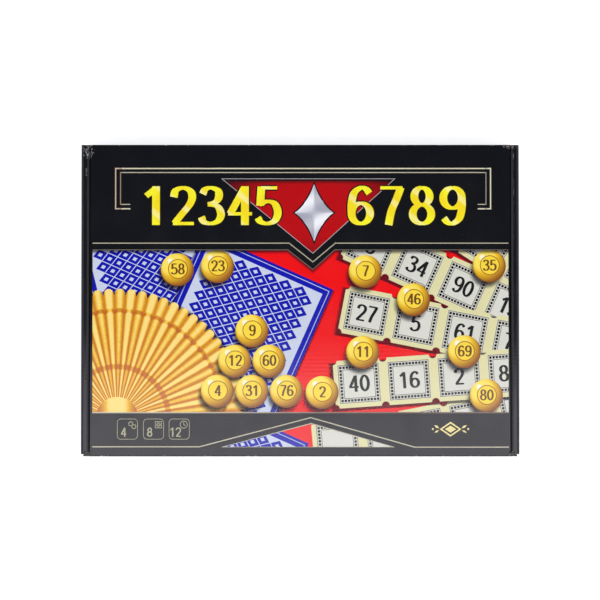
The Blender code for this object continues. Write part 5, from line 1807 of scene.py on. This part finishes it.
class BINGO_OT_stage(Operator):
    """Lay the pale floor, set the soft lights and place the camera above the lid"""

    bl_idname = "bingo_game.stage"
    bl_label = "Floor, lights and camera"

    def execute(self, context):
        scene = context.scene
        _, colours = settings()
        finish = Finish("floor_paper", Roughness=0.85, Emission_Color=(1, 1, 1, 1), Emission_Strength=0.5)
        speck = finish.grain(3 * MM, 3)
        soft = finish.grain(300 * MM, 2, shift=4.0)
        uneven = speck * 0.02 + soft * 0.02
        finish.feed(Base_Color=finish.mixed(uneven, colours.floor, shaded(colours.floor, 0.85)),
                    Normal=finish.relief(speck, 0.01 * MM))
        side = np.linspace(-FLOOR_HALF, FLOOR_HALF, FLOOR_STEPS + 1) * MM
        across, along = np.meshgrid(side, side, indexing="ij")
        level = np.full(across.size, FLOOR_LEVEL * MM)
        floor = shown("floor", facets(np.column_stack([across.ravel(), along.ravel(), level]),
                                      grid_faces(len(side), len(side))))
        floor.data.materials.append(finish.material)

        for entry in LAMPS:
            lamp(*entry)
        world = bpy.data.worlds.new("studio")
        world.use_nodes = True
        sky = world.node_tree.nodes["Background"].inputs
        sky["Color"].default_value = SKY_COLOUR
        sky["Strength"].default_value = SKY_STRENGTH
        scene.world = world
        scene.view_settings.view_transform = "Standard"

        lean = math.radians(CAMERA_LEAN)
        data = bpy.data.cameras.new("camera")
        data.sensor_width = 36
        data.lens = CAMERA_LENS
        camera = bpy.data.objects.new("camera", data)
        scene.collection.objects.link(camera)
        camera.location = (CAMERA_SHIFT[0], CAMERA_SHIFT[1] - CAMERA_DISTANCE * math.sin(lean),
                           LID_HIGH.z + CAMERA_DISTANCE * math.cos(lean))
        camera.rotation_euler = (lean, 0, 0)
        scene.camera = camera
        return {"FINISHED"}


# The add-on

STEPS = (BINGO_OT_stage, BINGO_OT_board, BINGO_OT_creases, BINGO_OT_lines, BINGO_OT_title, BINGO_OT_picture,
         BINGO_OT_signs, BINGO_OT_cards, BINGO_OT_discs, BINGO_OT_bag)


class BINGO_PT_panel(Panel):
    """Lists the game's pieces in the sidebar"""

    bl_idname = "BINGO_PT_panel"
    bl_label = "Bingo game"
    bl_space_type = "VIEW_3D"
    bl_region_type = "UI"
    bl_category = "Bingo game"

    def draw(self, context):
        for step in STEPS:
            self.layout.operator(step.bl_idname)


CLASSES = (BingoGameSizes, BingoGameColours, *STEPS, BINGO_PT_panel)


def register():
    """Registers the classes and hangs the settings on the scene."""
    for item in CLASSES:
        bpy.utils.register_class(item)
    bpy.types.Scene.bingo_sizes = PointerProperty(type=BingoGameSizes)
    bpy.types.Scene.bingo_colours = PointerProperty(type=BingoGameColours)


def unregister():
    """Takes the settings and the classes away again."""
    del bpy.types.Scene.bingo_colours
    del bpy.types.Scene.bingo_sizes
    for item in reversed(CLASSES):
        bpy.utils.unregister_class(item)


def main():
    register()
    for step in STEPS:
        group, action = step.bl_idname.split(".")
        getattr(getattr(bpy.ops, group), action)()


if __name__ == "__main__":
    main()
